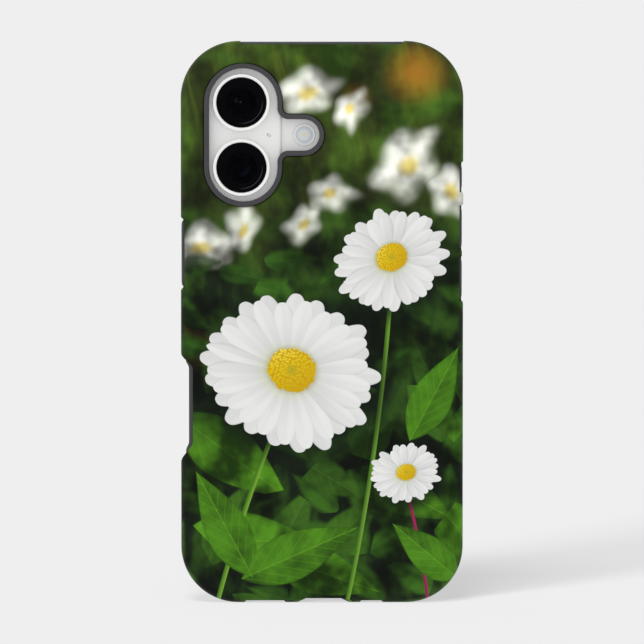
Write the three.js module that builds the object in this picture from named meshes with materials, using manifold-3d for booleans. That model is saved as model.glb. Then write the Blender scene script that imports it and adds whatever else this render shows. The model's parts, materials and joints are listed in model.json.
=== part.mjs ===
// A phone in a two-piece protective case, standing on its bottom edge.
//
// Millimetres. X = 0 is the middle of the width and Z = 0 is the surface that it stands on.
// +Z runs up the length, the camera side faces -Y and the display faces +Y.
// Left and right are as seen from the camera side.
// Inside the object group, Y = 0 is the middle of the phone's thickness.

import * as THREE from 'three';
import { mergeVertices } from 'three/addons/utils/BufferGeometryUtils.js';
import Module from 'manifold-3d';

const wasm = await Module();
wasm.setup();

// ---- Driving dimensions ----------------------------------------------------------------------

// Case outline, seen from the back
const CASE_WIDTH = 77.7;
const CASE_HEIGHT = 154.8;
const CASE_CORNER = 15.7;

// Thicknesses
const PHONE_THICKNESS = 7.9;
const PHONE_EDGE_ROUND = 1.0;
const FIT_GAP = 0.1;
const LINER_WALL = 1.6;
const LINER_BACK = 1.5;
const SHELL_WALL = 1.25;
const SHELL_BACK = 1.1;
const SHELL_FRONT_STAND = 0.5;
const FRONT_LIP = 0.9;
const CAMERA_RIM_STAND = 0.7;

// The long curve between the case's back and its sides
const BACK_CURVE_REACH = 6.0;
const BACK_CURVE_Y = -3.15;

// Camera opening in the shell: a tall pill with a bump to the right for the flash
const OPENING_X = -21.615;
const OPENING_Z = 129.1;
const OPENING_RADIUS = 10.845;
const OPENING_HALF_SPAN = 8.9;
const BUMP_X = -5.06;
const BUMP_RADIUS = 5.8;
const BUMP_FILLET = 1.6;
const CAMERA_RIM_WIDTH = 1.45;

// Steps of the rounded edges, as [inwards, below the face]
const LIP_ROUND = [[0, 0.45], [0.25, 0.15], [0.85, 0]];
const RIM_ROUND = [[0, 0.35], [0.1, 0.1], [0.35, 0]];
const GLASS_ROUND = [[0, 0.2], [0.3, 0.04], [0.8, 0]];
const PLATEAU_ROUND = [[0, 0.5], [0.25, 0.15], [0.8, 0]];
const SHELL_EDGE_ROUND = 1.0;
const LIP_WINDOW_CHAMFER = [0.35, 0.25];

// Cameras
const LENS_X = -22.1;
const LENS_SPACING = 17.85;
const LENS_RING_RADIUS = 7.8;
const LENS_GLASS_RADIUS = 6.9;
const LENS_RING_Y = -7.05;
const PLATEAU_RADIUS = 10.9;
const PLATEAU_STAND = 0.9;
const PLATEAU_WALL = 0.8;
const LENS_NECK_RADIUS = 6.4;
const RING_BORE_RADIUS = 6.0;
const RING_CHAMFER = 0.25;
const GLASS_BELOW_RING = 0.1;
const LEDGE_BELOW_RING = 0.55;
const CAMERA_BODY_HALF_WIDTH = 6.6;
const CAMERA_BODY_BACK_Y = -1.6;
const BARREL_RADIUS = 5.6;
const BARREL_TIP_RADIUS = 5.0;
const BARREL_SHOULDER_Y = -4.6;
const BARREL_MOUTH_RADIUS = 3.6;
const LENS_ELEMENT_RADIUS = 2.4;
const LENS_ELEMENT_RISE = 0.1;
const MOUTH_BELOW_LEDGE = 0.35;
const ELEMENT_BELOW_LEDGE = 1.1;
const FLASH_X = -4.87;
const FLASH_RADIUS = 3.1;
const LAMP_RADIUS = 2.2;
const LAMP_DEPTH = 1.0;
const FLASH_BOARD = { left: 3.5, right: 5.5, halfHeight: 3.5, thickness: 0.5 };
const MICROPHONE_X = -14.6;
const MICROPHONE_PORT_RADIUS = 0.55;
const MICROPHONE_BODY_RADIUS = 1.2;
const MICROPHONE_PORT_END_Y = -3.6;
const MICROPHONE_BODY_END_Y = -2.9;

// Pressed keys: their covers in the case, along the side, and how far the covers lie below the outline
const SIDE_PADS = [
  { name: 'side_button', side: 'left', from: 87.3, to: 105.5, below: 0.1 },
  { name: 'action_button', side: 'right', from: 113.8, to: 121.0, below: 0.3 },
  { name: 'volume_up', side: 'right', from: 97.7, to: 109.2, below: 0.3 },
  { name: 'volume_down', side: 'right', from: 83.7, to: 95.2, below: 0.3 },
];
const PAD_BACK_Y = -3.1;
const PAD_FRONT_Y = 2.7;
const PAD_CORNER = 1.4;
const PAD_CLEARANCE = 0.25;
const KEY_INSET = 1.2;
const KEY_HALF_HEIGHT = 1.3;
const KEY_ROUNDNESS = 0.9;
const KEY_STAND = 0.4;
const KEY_CLEARANCE = 0.15;
const KEY_TRAVEL = 0.25;
const KEY_FLANGE = 0.4;
const KEY_INNER_GAP = 0.2;
const SWITCH_THICKNESS = 0.7;
const SWITCH_HALF_LENGTH = 4;
const PAD_SLOT_DEPTH = 3.35;

// Shallow recesses in the shell around the key covers
const PAD_RECESSES = [
  { side: 'left', from: 86.5, to: 106.3, depth: 0.5 },
  { side: 'right', from: 113.0, to: 121.8, depth: 0.35 },
  { side: 'right', from: 82.9, to: 110.0, depth: 0.35 },
];

// Long recess that bares the flat camera key
const KEY_RECESS = { side: 'left', from: 38.8, to: 69.1, lowRamp: 6.0, highRamp: 4.4 };
const KEY_RECESS_SHELL_DEPTH = 3.3;
const KEY_RECESS_LINER_DEPTH = 2.2;
const CAMERA_KEY = { from: 47.0, to: 62.4, halfHeight: 1.5, travel: 0.1 };
const CAMERA_KEY_WINDOW_MARGIN = 0.8;

// The shell leaves the liner bare along the top
const TOP_GAP = { side: 'top', from: -22.6, to: 22.55, depth: 0.8 };
const TOP_PLINTH_CLEARANCE = 0.25;

// Notches in the bottom edge: speaker, charging port and microphone
const PORT_NOTCH = { from: -7.0, to: 7.8, depth: 1.3, slope: 2.6 };
const SPEAKER_NOTCH = { from: -21.5, to: -9.9, depth: 0.65, slope: 0.65 };
const BOTTOM_MICROPHONE_NOTCH = { from: 10.25, to: 16.9, depth: 0.65, slope: 0.65 };
const BOTTOM_SLOT_HALF_HEIGHT = 1.7;
const BOTTOM_SLOT_MARGIN = 1.0;
const SLOT_ROUNDNESS = 0.8;
const PORT_SLOT = { from: -6.4, to: 6.9, halfHeight: 2.9 };

// Phone
const FRAME_WALL = 1.9;
const GLASS_THICKNESS = 0.8;
const GLASS_SEAT_WIDTH = 0.62;
const PLATE_GAP = 0.1;
const DISPLAY_PANEL_THICKNESS = 0.6;
const MIDPLATE_THICKNESS = 0.7;
const COIL_THICKNESS = 0.25;
const CHARGING_CENTRE_Z = 72.0;

// Holes and fittings in the phone's bottom edge
const PORT_HALF_WIDTH = 4.8;
const PORT_HALF_HEIGHT = 1.95;
const PORT_WALL = 0.35;
const PORT_END_WALL = 0.8;
const PORT_DEPTH = 7.6;
const PORT_BELOW_EDGE = 0.15;
const TONGUE = { halfWidth: 3.3, halfThickness: 0.35, below: 1.1, root: 0.4 };
const SPEAKER_HOLES_X = [-19.6, -17.5, -15.4, -13.3, -11.2];
const MICROPHONE_HOLES_X = [11.6, 13.7, 15.8];
const SPEAKER_HOLE_RADIUS = 0.75;
const SCREW_X = 6.35;
const SCREW_HOLE_RADIUS = 0.95;
const SCREW = { below: 0.15, headRadius: 0.8, headEnd: 0.95, shankRadius: 0.5, shankStart: 0.5, reach: 0.6 };

// Parts inside the phone: the places of their edges seen from the back
const BATTERY = { left: 1.8, right: 10.8, low: 27.5, high: 112.5, corner: 2 };
const BOARD = { left: 12.2, edge: 1.7, low: 56, high: 140, corner: 1.5, backY: 0.6 };
const SHIELD = { left: 13.4, edge: 2.9, corner: 1, height: 1.5 };
const SHIELD_SPANS = { lower_board_shield: [58, 95], upper_board_shield: [97, 138] };
const COIL_RADII = [11, 21.5];
const MAGNET_RADII = [23.2, 26.8];
const MAGNET_GAP_HALF_WIDTH = 5;
const FRONT_CAMERA = { left: 0.6, right: 7.6, low: 142, high: 149, depth: 3.2, lensZ: 145.5 };
const FRONT_CAMERA_LENS_RADIUS = 2.2;
const EARPIECE = { left: -8.6, right: -1.2, low: 142.5, depth: 2.6 };
const HAPTIC = { left: -30.5, right: -9.5, low: 8.5, high: 25.5, corner: 1, depth: 3.6 };
const SPEAKER = { left: 12.2, right: 31, low: 9.5, high: 53, corner: 1.5, depth: 3.8 };
const SNOUT = { left: 14, right: 20, backY: -1.1, high: 10.5 };
const FLEX = { halfWidth: 4.5, backY: 0.9, thickness: 0.25, low: 6.2, high: 26.3 };
const FLEX_UPSTAND = { backY: -1.5, gap: 0.3, thickness: 0.4 };

// Smoothness
const CORNER_STEPS = 8;
const CURVE_STEPS = 4;
const ROUND_STEPS = 3;
const OPENING_STEPS = 10;
const LENS_SIDES = 32;
const SMALL_SIDES = 14;
const OVERCUT = 1.0;
const MERGE_DISTANCE = 1e-5;

// ---- Worked-out places -----------------------------------------------------------------------

const HALF_PHONE = PHONE_THICKNESS / 2;
const LINER_INSET = SHELL_WALL + FIT_GAP;
const PHONE_INSET = LINER_INSET + LINER_WALL + FIT_GAP;
const PHONE_SIDE = CASE_WIDTH / 2 - PHONE_INSET;
const PHONE_TOP = CASE_HEIGHT - PHONE_INSET;
const PHONE_BOTTOM = PHONE_INSET;

const LINER_INNER_Y = -(HALF_PHONE + FIT_GAP);
const LINER_BACK_Y = LINER_INNER_Y - LINER_BACK;
const SHELL_INNER_Y = LINER_BACK_Y - FIT_GAP;
const SHELL_BACK_Y = SHELL_INNER_Y - SHELL_BACK;
const CAMERA_RIM_Y = SHELL_BACK_Y - CAMERA_RIM_STAND;
const SHELL_FRONT_Y = HALF_PHONE + SHELL_FRONT_STAND;
const LINER_FRONT_Y = HALF_PHONE + FRONT_LIP;
const LIP_WINDOW_INSET = PHONE_INSET + PHONE_EDGE_ROUND + 2 * FIT_GAP;
const PLATEAU_Y = -(HALF_PHONE + PLATEAU_STAND);

const LENS_LOW_Z = OPENING_Z - LENS_SPACING / 2;
const LENS_HIGH_Z = OPENING_Z + LENS_SPACING / 2;

const GLASS_INNER_Y = HALF_PHONE - GLASS_THICKNESS;
const PANEL_FRONT_Y = GLASS_INNER_Y - PLATE_GAP;
const PANEL_BACK_Y = PANEL_FRONT_Y - DISPLAY_PANEL_THICKNESS;
const MIDPLATE_FRONT_Y = PANEL_BACK_Y - PLATE_GAP;
const MIDPLATE_BACK_Y = MIDPLATE_FRONT_Y - MIDPLATE_THICKNESS;
const STACK_FRONT_Y = MIDPLATE_BACK_Y - PLATE_GAP;
const COIL_BACK_Y = -GLASS_INNER_Y + PLATE_GAP;
const COIL_FRONT_Y = COIL_BACK_Y + COIL_THICKNESS;
const STACK_BACK_Y = COIL_FRONT_Y + PLATE_GAP;
const CAVITY_SIDE = PHONE_SIDE - FRAME_WALL;
const CAVITY_TOP = PHONE_TOP - FRAME_WALL;
const CAVITY_BOTTOM = PHONE_BOTTOM + FRAME_WALL;

// ---- Finishes --------------------------------------------------------------------------------

const FINISH = {
  print: { color: 0x3f5a28, roughness: 0.5, metalness: 0 },
  liner: { color: 0x4c4c4e, roughness: 0.8, metalness: 0 },
  frame: { color: 0xdedede, roughness: 0.35, metalness: 0.9 },
  backGlass: { color: 0xe6e5e1, roughness: 0.3, metalness: 0 },
  ring: { color: 0xf4f2ee, roughness: 0.25, metalness: 0.6 },
  darkGlass: { color: 0x0b0c10, roughness: 0.05, metalness: 0 },
  black: { color: 0x151515, roughness: 0.6, metalness: 0 },
  flash: { color: 0xe9e2c8, roughness: 0.2, metalness: 0 },
  steel: { color: 0xa9abad, roughness: 0.35, metalness: 1 },
  aluminium: { color: 0xb9bbbd, roughness: 0.45, metalness: 0.9 },
  copper: { color: 0xb5703c, roughness: 0.4, metalness: 1 },
  board: { color: 0x14331f, roughness: 0.6, metalness: 0 },
};

// ---- Solids ----------------------------------------------------------------------------------

function signedVolume(positions, corners) {
  const a = new THREE.Vector3();
  const b = new THREE.Vector3();
  const c = new THREE.Vector3();
  let volume = 0;
  for (let i = 0; i < corners.length; i += 3) {
    a.fromArray(positions, corners[i] * 3);
    b.fromArray(positions, corners[i + 1] * 3);
    c.fromArray(positions, corners[i + 2] * 3);
    volume += a.dot(b.cross(c)) / 6;
  }
  return volume;
}

// A closed geometry as a solid, with its faces turned outwards
function toSolid(geometry) {
  const bare = geometry.clone();
  bare.deleteAttribute('normal');
  bare.deleteAttribute('uv');
  const merged = mergeVertices(bare, MERGE_DISTANCE);
  const positions = merged.attributes.position.array;
  const index = merged.index.array;
  const corners = [];
  for (let i = 0; i < index.length; i += 3) {
    const [a, b, c] = [index[i], index[i + 1], index[i + 2]];
    if (a !== b && b !== c && c !== a) corners.push(a, b, c);
  }
  if (signedVolume(positions, corners) < 0) corners.reverse();
  return new wasm.Manifold(
    new wasm.Mesh({
      numProp: 3,
      vertProperties: Float32Array.from(positions),
      triVerts: Uint32Array.from(corners),
    }),
  );
}

function toGeometry(solid) {
  const { vertProperties, triVerts } = solid.getMesh();
  const geometry = new THREE.BufferGeometry();
  geometry.setAttribute('position', new THREE.BufferAttribute(Float32Array.from(vertProperties), 3));
  geometry.setIndex(new THREE.BufferAttribute(Uint32Array.from(triVerts), 1));
  geometry.computeVertexNormals();
  return geometry;
}

function joined(first, ...others) {
  return others.reduce((solid, other) => solid.add(other), first);
}

function cut(first, ...others) {
  return others.reduce((solid, other) => solid.subtract(other), first);
}

const object = new THREE.Group();

function addPiece(name, solid, finish) {
  const mesh = new THREE.Mesh(toGeometry(solid), new THREE.MeshStandardMaterial(finish));
  mesh.name = name;
  object.add(mesh);
}

// ---- Outlines and simple shapes --------------------------------------------------------------

function arc(centreU, centreV, radius, fromDegrees, toDegrees, steps) {
  const points = [];
  for (let i = 0; i <= steps; i += 1) {
    const angle = THREE.MathUtils.degToRad(fromDegrees + ((toDegrees - fromDegrees) * i) / steps);
    points.push([centreU + radius * Math.cos(angle), centreV + radius * Math.sin(angle)]);
  }
  return points;
}

function roundedRectangle(uMin, uMax, vMin, vMax, radius, steps = ROUND_STEPS) {
  return [
    ...arc(uMax - radius, vMin + radius, radius, -90, 0, steps),
    ...arc(uMax - radius, vMax - radius, radius, 0, 90, steps),
    ...arc(uMin + radius, vMax - radius, radius, 90, 180, steps),
    ...arc(uMin + radius, vMin + radius, radius, 180, 270, steps),
  ];
}

// The case's outline in X and Z, moved inwards by an inset
function caseOutline(inset) {
  return roundedRectangle(
    -CASE_WIDTH / 2 + inset,
    CASE_WIDTH / 2 - inset,
    inset,
    CASE_HEIGHT - inset,
    CASE_CORNER - inset,
    CORNER_STEPS,
  );
}

// The shell's camera opening in X and Z, moved inwards by an inset
function cameraOutline(inset) {
  const pill = OPENING_RADIUS - inset;
  const bump = BUMP_RADIUS - inset;
  const fillet = BUMP_FILLET + inset;
  const filletX = OPENING_X + pill + fillet;
  return [
    ...arc(BUMP_X, OPENING_Z, bump, -90, 90, OPENING_STEPS),
    ...arc(filletX, OPENING_Z + bump + fillet, fillet, 270, 180, ROUND_STEPS),
    ...arc(OPENING_X, OPENING_Z + OPENING_HALF_SPAN, pill, 0, 180, OPENING_STEPS),
    ...arc(OPENING_X, OPENING_Z - OPENING_HALF_SPAN, pill, 180, 360, OPENING_STEPS),
    ...arc(filletX, OPENING_Z - bump - fillet, fillet, 180, 90, ROUND_STEPS),
  ];
}

function pillOutline(radius) {
  return [
    ...arc(LENS_X, LENS_HIGH_Z, radius, 0, 180, OPENING_STEPS),
    ...arc(LENS_X, LENS_LOW_Z, radius, 180, 360, OPENING_STEPS),
  ];
}

function toShape(points) {
  return new THREE.Shape(points.map(([u, v]) => new THREE.Vector2(u, v)));
}

function extruded(points, depth) {
  return new THREE.ExtrudeGeometry(toShape(points), { depth, bevelEnabled: false });
}

// Points in Y and Z, run along X
function prismX(points, xFrom, xTo) {
  const turn = new THREE.Matrix4().set(0, 0, 1, xFrom, 1, 0, 0, 0, 0, 1, 0, 0, 0, 0, 0, 1);
  return toSolid(extruded(points, xTo - xFrom).applyMatrix4(turn));
}

// Points in X and Z, run along Y
function prismY(points, yFrom, yTo) {
  const turn = new THREE.Matrix4().set(1, 0, 0, 0, 0, 0, -1, yTo, 0, 1, 0, 0, 0, 0, 0, 1);
  return toSolid(extruded(points, yTo - yFrom).applyMatrix4(turn));
}

// Points in X and Y, run along Z
function prismZ(points, zFrom, zTo) {
  return toSolid(extruded(points, zTo - zFrom).translate(0, 0, zFrom));
}

function block(xMin, xMax, yMin, yMax, zMin, zMax) {
  const geometry = new THREE.BoxGeometry(xMax - xMin, yMax - yMin, zMax - zMin);
  geometry.translate((xMin + xMax) / 2, (yMin + yMax) / 2, (zMin + zMax) / 2);
  return toSolid(geometry);
}

function cylinderY(x, z, radius, yFrom, yTo, sides = SMALL_SIDES) {
  const geometry = new THREE.CylinderGeometry(radius, radius, yTo - yFrom, sides);
  return toSolid(geometry.translate(x, (yFrom + yTo) / 2, z));
}

function cylinderZ(x, y, radius, zFrom, zTo, sides = SMALL_SIDES) {
  const geometry = new THREE.CylinderGeometry(radius, radius, zTo - zFrom, sides);
  return toSolid(geometry.rotateX(Math.PI / 2).translate(x, y, (zFrom + zTo) / 2));
}

// A profile of [radius, y] points turned about the Y direction; it ends on the axis or closes
function turnedY(x, z, profile, sides = LENS_SIDES) {
  const points = profile.map(([radius, y]) => new THREE.Vector2(radius, y));
  return toSolid(new THREE.LatheGeometry(points, sides).translate(x, 0, z));
}

// Side walls between rings of equally many points, each ring a list of [x, y, z]
function ringWalls(rings, closeRound) {
  const count = rings[0].length;
  const positions = rings.flat(2);
  const corners = [];
  const last = closeRound ? rings.length : rings.length - 1;
  for (let i = 0; i < last; i += 1) {
    const low = i * count;
    const high = ((i + 1) % rings.length) * count;
    for (let j = 0; j < count; j += 1) {
      const next = (j + 1) % count;
      corners.push(low + j, low + next, high + next);
      corners.push(low + j, high + next, high + j);
    }
  }
  return { positions, corners };
}

function placeRing(outline, y) {
  return outline.map(([x, z]) => [x, y, z]);
}

// A solid through outlines at rising Y, closed by a flat cap at each end
function loft(levels) {
  const rings = levels.map(({ outline, y }) => placeRing(outline, y));
  const { positions, corners } = ringWalls(rings, false);
  const count = rings[0].length;
  const top = (rings.length - 1) * count;
  const flat = (outline) => outline.map(([u, v]) => new THREE.Vector2(u, v));
  for (const [a, b, c] of THREE.ShapeUtils.triangulateShape(flat(levels[0].outline), [])) {
    corners.push(c, b, a);
  }
  for (const [a, b, c] of THREE.ShapeUtils.triangulateShape(flat(levels.at(-1).outline), [])) {
    corners.push(top + a, top + b, top + c);
  }
  return fromTriangles(positions, corners);
}

// A closed band: a profile of [inset, y] points carried round the case's outline
function caseBand(profile) {
  const rings = profile.map(([inset, y]) => placeRing(caseOutline(inset), y));
  const { positions, corners } = ringWalls(rings, true);
  return fromTriangles(positions, corners);
}

function caseLoft(profile) {
  return loft(profile.map(([inset, y]) => ({ outline: caseOutline(inset), y })));
}

function fromTriangles(positions, corners) {
  const geometry = new THREE.BufferGeometry();
  geometry.setAttribute('position', new THREE.Float32BufferAttribute(positions, 3));
  geometry.setIndex(corners);
  return toSolid(geometry);
}

// ---- Case curves -----------------------------------------------------------------------------

// From the flat back out to the side wall, a quarter of an ellipse
function backCurve(sideInset, backY) {
  const points = [];
  for (let i = 0; i <= CURVE_STEPS; i += 1) {
    const angle = ((Math.PI / 2) * i) / CURVE_STEPS;
    const inset = BACK_CURVE_REACH - (BACK_CURVE_REACH - sideInset) * Math.sin(angle);
    points.push([inset, BACK_CURVE_Y + (backY - BACK_CURVE_Y) * Math.cos(angle)]);
  }
  return points;
}

// Where the shell's outer surface lies, that far in from the outline
function shellSurfaceY(inset) {
  const across = (BACK_CURVE_REACH - inset) / BACK_CURVE_REACH;
  return BACK_CURVE_Y + (SHELL_BACK_Y - BACK_CURVE_Y) * Math.sqrt(1 - across * across);
}

// The phone's rounded edge, grown by a margin, from its flat face to its side
function phoneEdge(margin, direction) {
  const radius = PHONE_EDGE_ROUND + margin;
  const centreInset = PHONE_INSET + PHONE_EDGE_ROUND;
  const centreY = HALF_PHONE - PHONE_EDGE_ROUND;
  return arc(centreInset, centreY, radius, 90, 180, ROUND_STEPS).map(([inset, y]) => [inset, direction * y]);
}

// A place given along an edge and inwards from it, in X and Z
function fromEdge(side, along, inset) {
  const places = {
    left: [-CASE_WIDTH / 2 + inset, along],
    right: [CASE_WIDTH / 2 - inset, along],
    top: [along, CASE_HEIGHT - inset],
    bottom: [along, inset],
  };
  return places[side];
}

// A notch that narrows inwards at its ends, by a slope over its depth
function notchOutline(side, { from, to, depth, slope }, cutDepth) {
  const spread = (slope * OVERCUT) / depth;
  return [
    fromEdge(side, from - spread, -OVERCUT),
    fromEdge(side, from + slope, depth),
    fromEdge(side, from + slope, cutDepth),
    fromEdge(side, to - slope, cutDepth),
    fromEdge(side, to - slope, depth),
    fromEdge(side, to + spread, -OVERCUT),
  ].filter((point, i, all) => i === 0 || point.some((value, k) => value !== all[i - 1][k]));
}

// A long recess with an S-shaped ramp at each end
function rampedOutline({ side, from, to, lowRamp, highRamp }, depth) {
  const steps = 2 * CURVE_STEPS;
  const points = [fromEdge(side, from, -OVERCUT)];
  for (let i = 0; i <= steps; i += 1) {
    const share = i / steps;
    points.push(fromEdge(side, from + lowRamp * share, (depth * (1 - Math.cos(Math.PI * share))) / 2));
  }
  for (let i = steps; i >= 0; i -= 1) {
    const share = i / steps;
    points.push(fromEdge(side, to - highRamp * share, (depth * (1 - Math.cos(Math.PI * share))) / 2));
  }
  points.push(fromEdge(side, to, -OVERCUT));
  return points;
}

// ---- Case ------------------------------------------------------------------------------------

const SHELL_FRONT_FLAT_Y = SHELL_FRONT_Y - SHELL_EDGE_ROUND;
const SHELL_CUT_DEPTH = SHELL_WALL + FIT_GAP / 2;
const PAD_WINDOW_EDGE_INSET = 1.05;

const shellEnvelope = caseLoft([
  ...backCurve(0, SHELL_BACK_Y),
  ...arc(SHELL_EDGE_ROUND, SHELL_FRONT_FLAT_Y, SHELL_EDGE_ROUND, 180, 90, ROUND_STEPS),
]);

function padWindow({ side, from, to }) {
  const margin = 2 * PAD_CLEARANCE;
  const inner = fromEdge(side, 0, SHELL_CUT_DEPTH)[0];
  const outer = fromEdge(side, 0, -OVERCUT)[0];
  return block(
    Math.min(inner, outer),
    Math.max(inner, outer),
    shellSurfaceY(PAD_WINDOW_EDGE_INSET),
    PAD_FRONT_Y + margin,
    from - margin,
    to + margin,
  );
}

function outerShell() {
  const hollow = caseLoft([...backCurve(SHELL_WALL, SHELL_INNER_Y), [SHELL_WALL, SHELL_FRONT_Y + OVERCUT]]);
  const front = SHELL_FRONT_Y + OVERCUT;
  const back = SHELL_BACK_Y - OVERCUT;
  const recesses = PAD_RECESSES.map(({ side, from, to, depth }) =>
    prismY(notchOutline(side, { from, to, depth, slope: depth }, depth), back, front),
  );
  const notches = [
    ['top', { ...TOP_GAP, slope: TOP_GAP.depth }],
    ['bottom', PORT_NOTCH],
    ['bottom', SPEAKER_NOTCH],
    ['bottom', BOTTOM_MICROPHONE_NOTCH],
  ].map(([side, notch]) => {
    const outline = notchOutline(side, notch, SHELL_CUT_DEPTH);
    return prismY(outline, shellSurfaceY(notch.depth), front);
  });
  return cut(
    shellEnvelope,
    hollow,
    prismY(cameraOutline(0), back, LINER_INNER_Y),
    prismY(rampedOutline(KEY_RECESS, KEY_RECESS_SHELL_DEPTH), back, front),
    ...recesses,
    ...notches,
    ...SIDE_PADS.map(padWindow),
  );
}

function rimLevel(inset, y) {
  return { outline: cameraOutline(inset), y };
}

function innerLiner() {
  const body = caseLoft([
    ...backCurve(LINER_INSET, LINER_BACK_Y),
    ...LIP_ROUND.map(([inwards, below]) => [LINER_INSET + inwards, LINER_FRONT_Y - below]),
  ]);
  const phoneSpace = caseLoft([...phoneEdge(FIT_GAP, -1), ...phoneEdge(FIT_GAP, 1).reverse()]);
  const displayWindow = caseLoft([
    [LIP_WINDOW_INSET, 0],
    [LIP_WINDOW_INSET, LINER_FRONT_Y - LIP_WINDOW_CHAMFER[1]],
    [LIP_WINDOW_INSET - LIP_WINDOW_CHAMFER[0], LINER_FRONT_Y],
    [LIP_WINDOW_INSET - LIP_WINDOW_CHAMFER[0], LINER_FRONT_Y + OVERCUT],
  ]);
  const rimSteps = RIM_ROUND.toReversed();
  const cameraRim = loft([
    ...rimSteps.map(([inwards, below]) => rimLevel(FIT_GAP + inwards, CAMERA_RIM_Y + below)),
    rimLevel(FIT_GAP, LINER_BACK_Y + OVERCUT / 2),
  ]);
  const cameraHole = loft([
    rimLevel(CAMERA_RIM_WIDTH - rimSteps[0][0], CAMERA_RIM_Y - OVERCUT),
    ...rimSteps.map(([inwards, below]) => rimLevel(CAMERA_RIM_WIDTH - inwards, CAMERA_RIM_Y + below)),
    rimLevel(CAMERA_RIM_WIDTH, 0),
  ]);
  const plateauSpace = prismY(pillOutline(PLATEAU_RADIUS + 2 * FIT_GAP), PLATEAU_Y - FIT_GAP, 0);
  const plinthSides = [
    TOP_GAP.from + TOP_GAP.depth + TOP_PLINTH_CLEARANCE,
    TOP_GAP.to - TOP_GAP.depth - TOP_PLINTH_CLEARANCE,
  ];
  const plinthBackY = shellSurfaceY(TOP_GAP.depth) + TOP_PLINTH_CLEARANCE;
  const plinthRoot = CASE_HEIGHT - LINER_INSET - LINER_WALL / 2;
  const plinthShelf = CASE_HEIGHT - SHELL_WALL + FIT_GAP / 2;
  const topPlinth = shellEnvelope.intersect(
    joined(
      block(...plinthSides, BACK_CURVE_Y, SHELL_FRONT_Y, plinthRoot, CASE_HEIGHT),
      block(...plinthSides, plinthBackY, BACK_CURVE_Y + OVERCUT, plinthShelf, CASE_HEIGHT),
    ),
  );
  const keyRecess = prismY(
    rampedOutline(KEY_RECESS, KEY_RECESS_LINER_DEPTH),
    LINER_BACK_Y - OVERCUT,
    LINER_FRONT_Y + OVERCUT,
  );
  const bottomSlots = [
    [PORT_SLOT.from, PORT_SLOT.to, PORT_SLOT.halfHeight],
    ...[SPEAKER_NOTCH, BOTTOM_MICROPHONE_NOTCH].map(({ from, to }) => [
      from + BOTTOM_SLOT_MARGIN,
      to - BOTTOM_SLOT_MARGIN,
      BOTTOM_SLOT_HALF_HEIGHT,
    ]),
  ].map(([from, to, half]) => {
    const outline = roundedRectangle(from, to, -half, half, half * SLOT_ROUNDNESS, CURVE_STEPS);
    return prismZ(outline, 0, PHONE_BOTTOM + OVERCUT / 2);
  });
  return cut(
    joined(body, cameraRim, topPlinth),
    phoneSpace,
    displayWindow,
    cameraHole,
    plateauSpace,
    keyRecess,
    cameraKeyWindow(),
    ...SIDE_PADS.map((pad) => padPrism(pad, PAD_CLEARANCE, 0, PAD_SLOT_DEPTH)),
    ...bottomSlots,
  );
}

// A key cover's outline in Y and Z, grown by a margin and run between two insets
function padPrism({ side, from, to }, margin, outerInset, innerInset) {
  const outline = roundedRectangle(
    PAD_BACK_Y - margin,
    PAD_FRONT_Y + margin,
    from - margin,
    to + margin,
    PAD_CORNER + margin,
    CURVE_STEPS,
  );
  const ends = [fromEdge(side, 0, outerInset)[0], fromEdge(side, 0, innerInset)[0]];
  return prismX(outline, Math.min(...ends), Math.max(...ends));
}

function cameraKeyWindow() {
  const margin = CAMERA_KEY_WINDOW_MARGIN;
  const half = CAMERA_KEY.halfHeight + margin;
  const [from, to] = [CAMERA_KEY.from - margin, CAMERA_KEY.to + margin];
  const outline = roundedRectangle(-half, half, from, to, half, CURVE_STEPS);
  return prismX(outline, -CASE_WIDTH / 2, -CASE_WIDTH / 2 + PAD_SLOT_DEPTH);
}

addPiece('outer_shell', outerShell(), FINISH.print);
addPiece('inner_liner', innerLiner(), FINISH.liner);
for (const pad of SIDE_PADS) {
  const innerInset = PHONE_INSET - KEY_STAND - FIT_GAP;
  addPiece(`${pad.name}_cover`, padPrism(pad, 0, pad.below, innerInset), FINISH.liner);
}

// ---- Phone frame, glass and display ----------------------------------------------------------

// A key in the frame: its outline in Y and Z, grown by a margin
function keyOutline({ from, to }, halfHeight, margin) {
  const half = halfHeight + margin;
  return roundedRectangle(-half, half, from - margin, to + margin, half * KEY_ROUNDNESS, CURVE_STEPS);
}

const KEYS = SIDE_PADS.map(({ name, side, from, to }) => ({
  name: `${name}_key`,
  side,
  from: from + KEY_INSET,
  to: to - KEY_INSET,
  halfHeight: KEY_HALF_HEIGHT,
  stand: KEY_STAND,
  travel: KEY_TRAVEL,
}));
KEYS.push({ ...CAMERA_KEY, name: 'camera_key', side: 'left', stand: 0 });

function keySpan(side, outerX, innerX) {
  return side === 'left' ? [-outerX, -innerX] : [innerX, outerX];
}

function portOutline(margin) {
  const half = PORT_HALF_HEIGHT + margin;
  const wide = PORT_HALF_WIDTH + margin;
  return roundedRectangle(-wide, wide, -half, half, half * KEY_ROUNDNESS, CURVE_STEPS);
}

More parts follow.
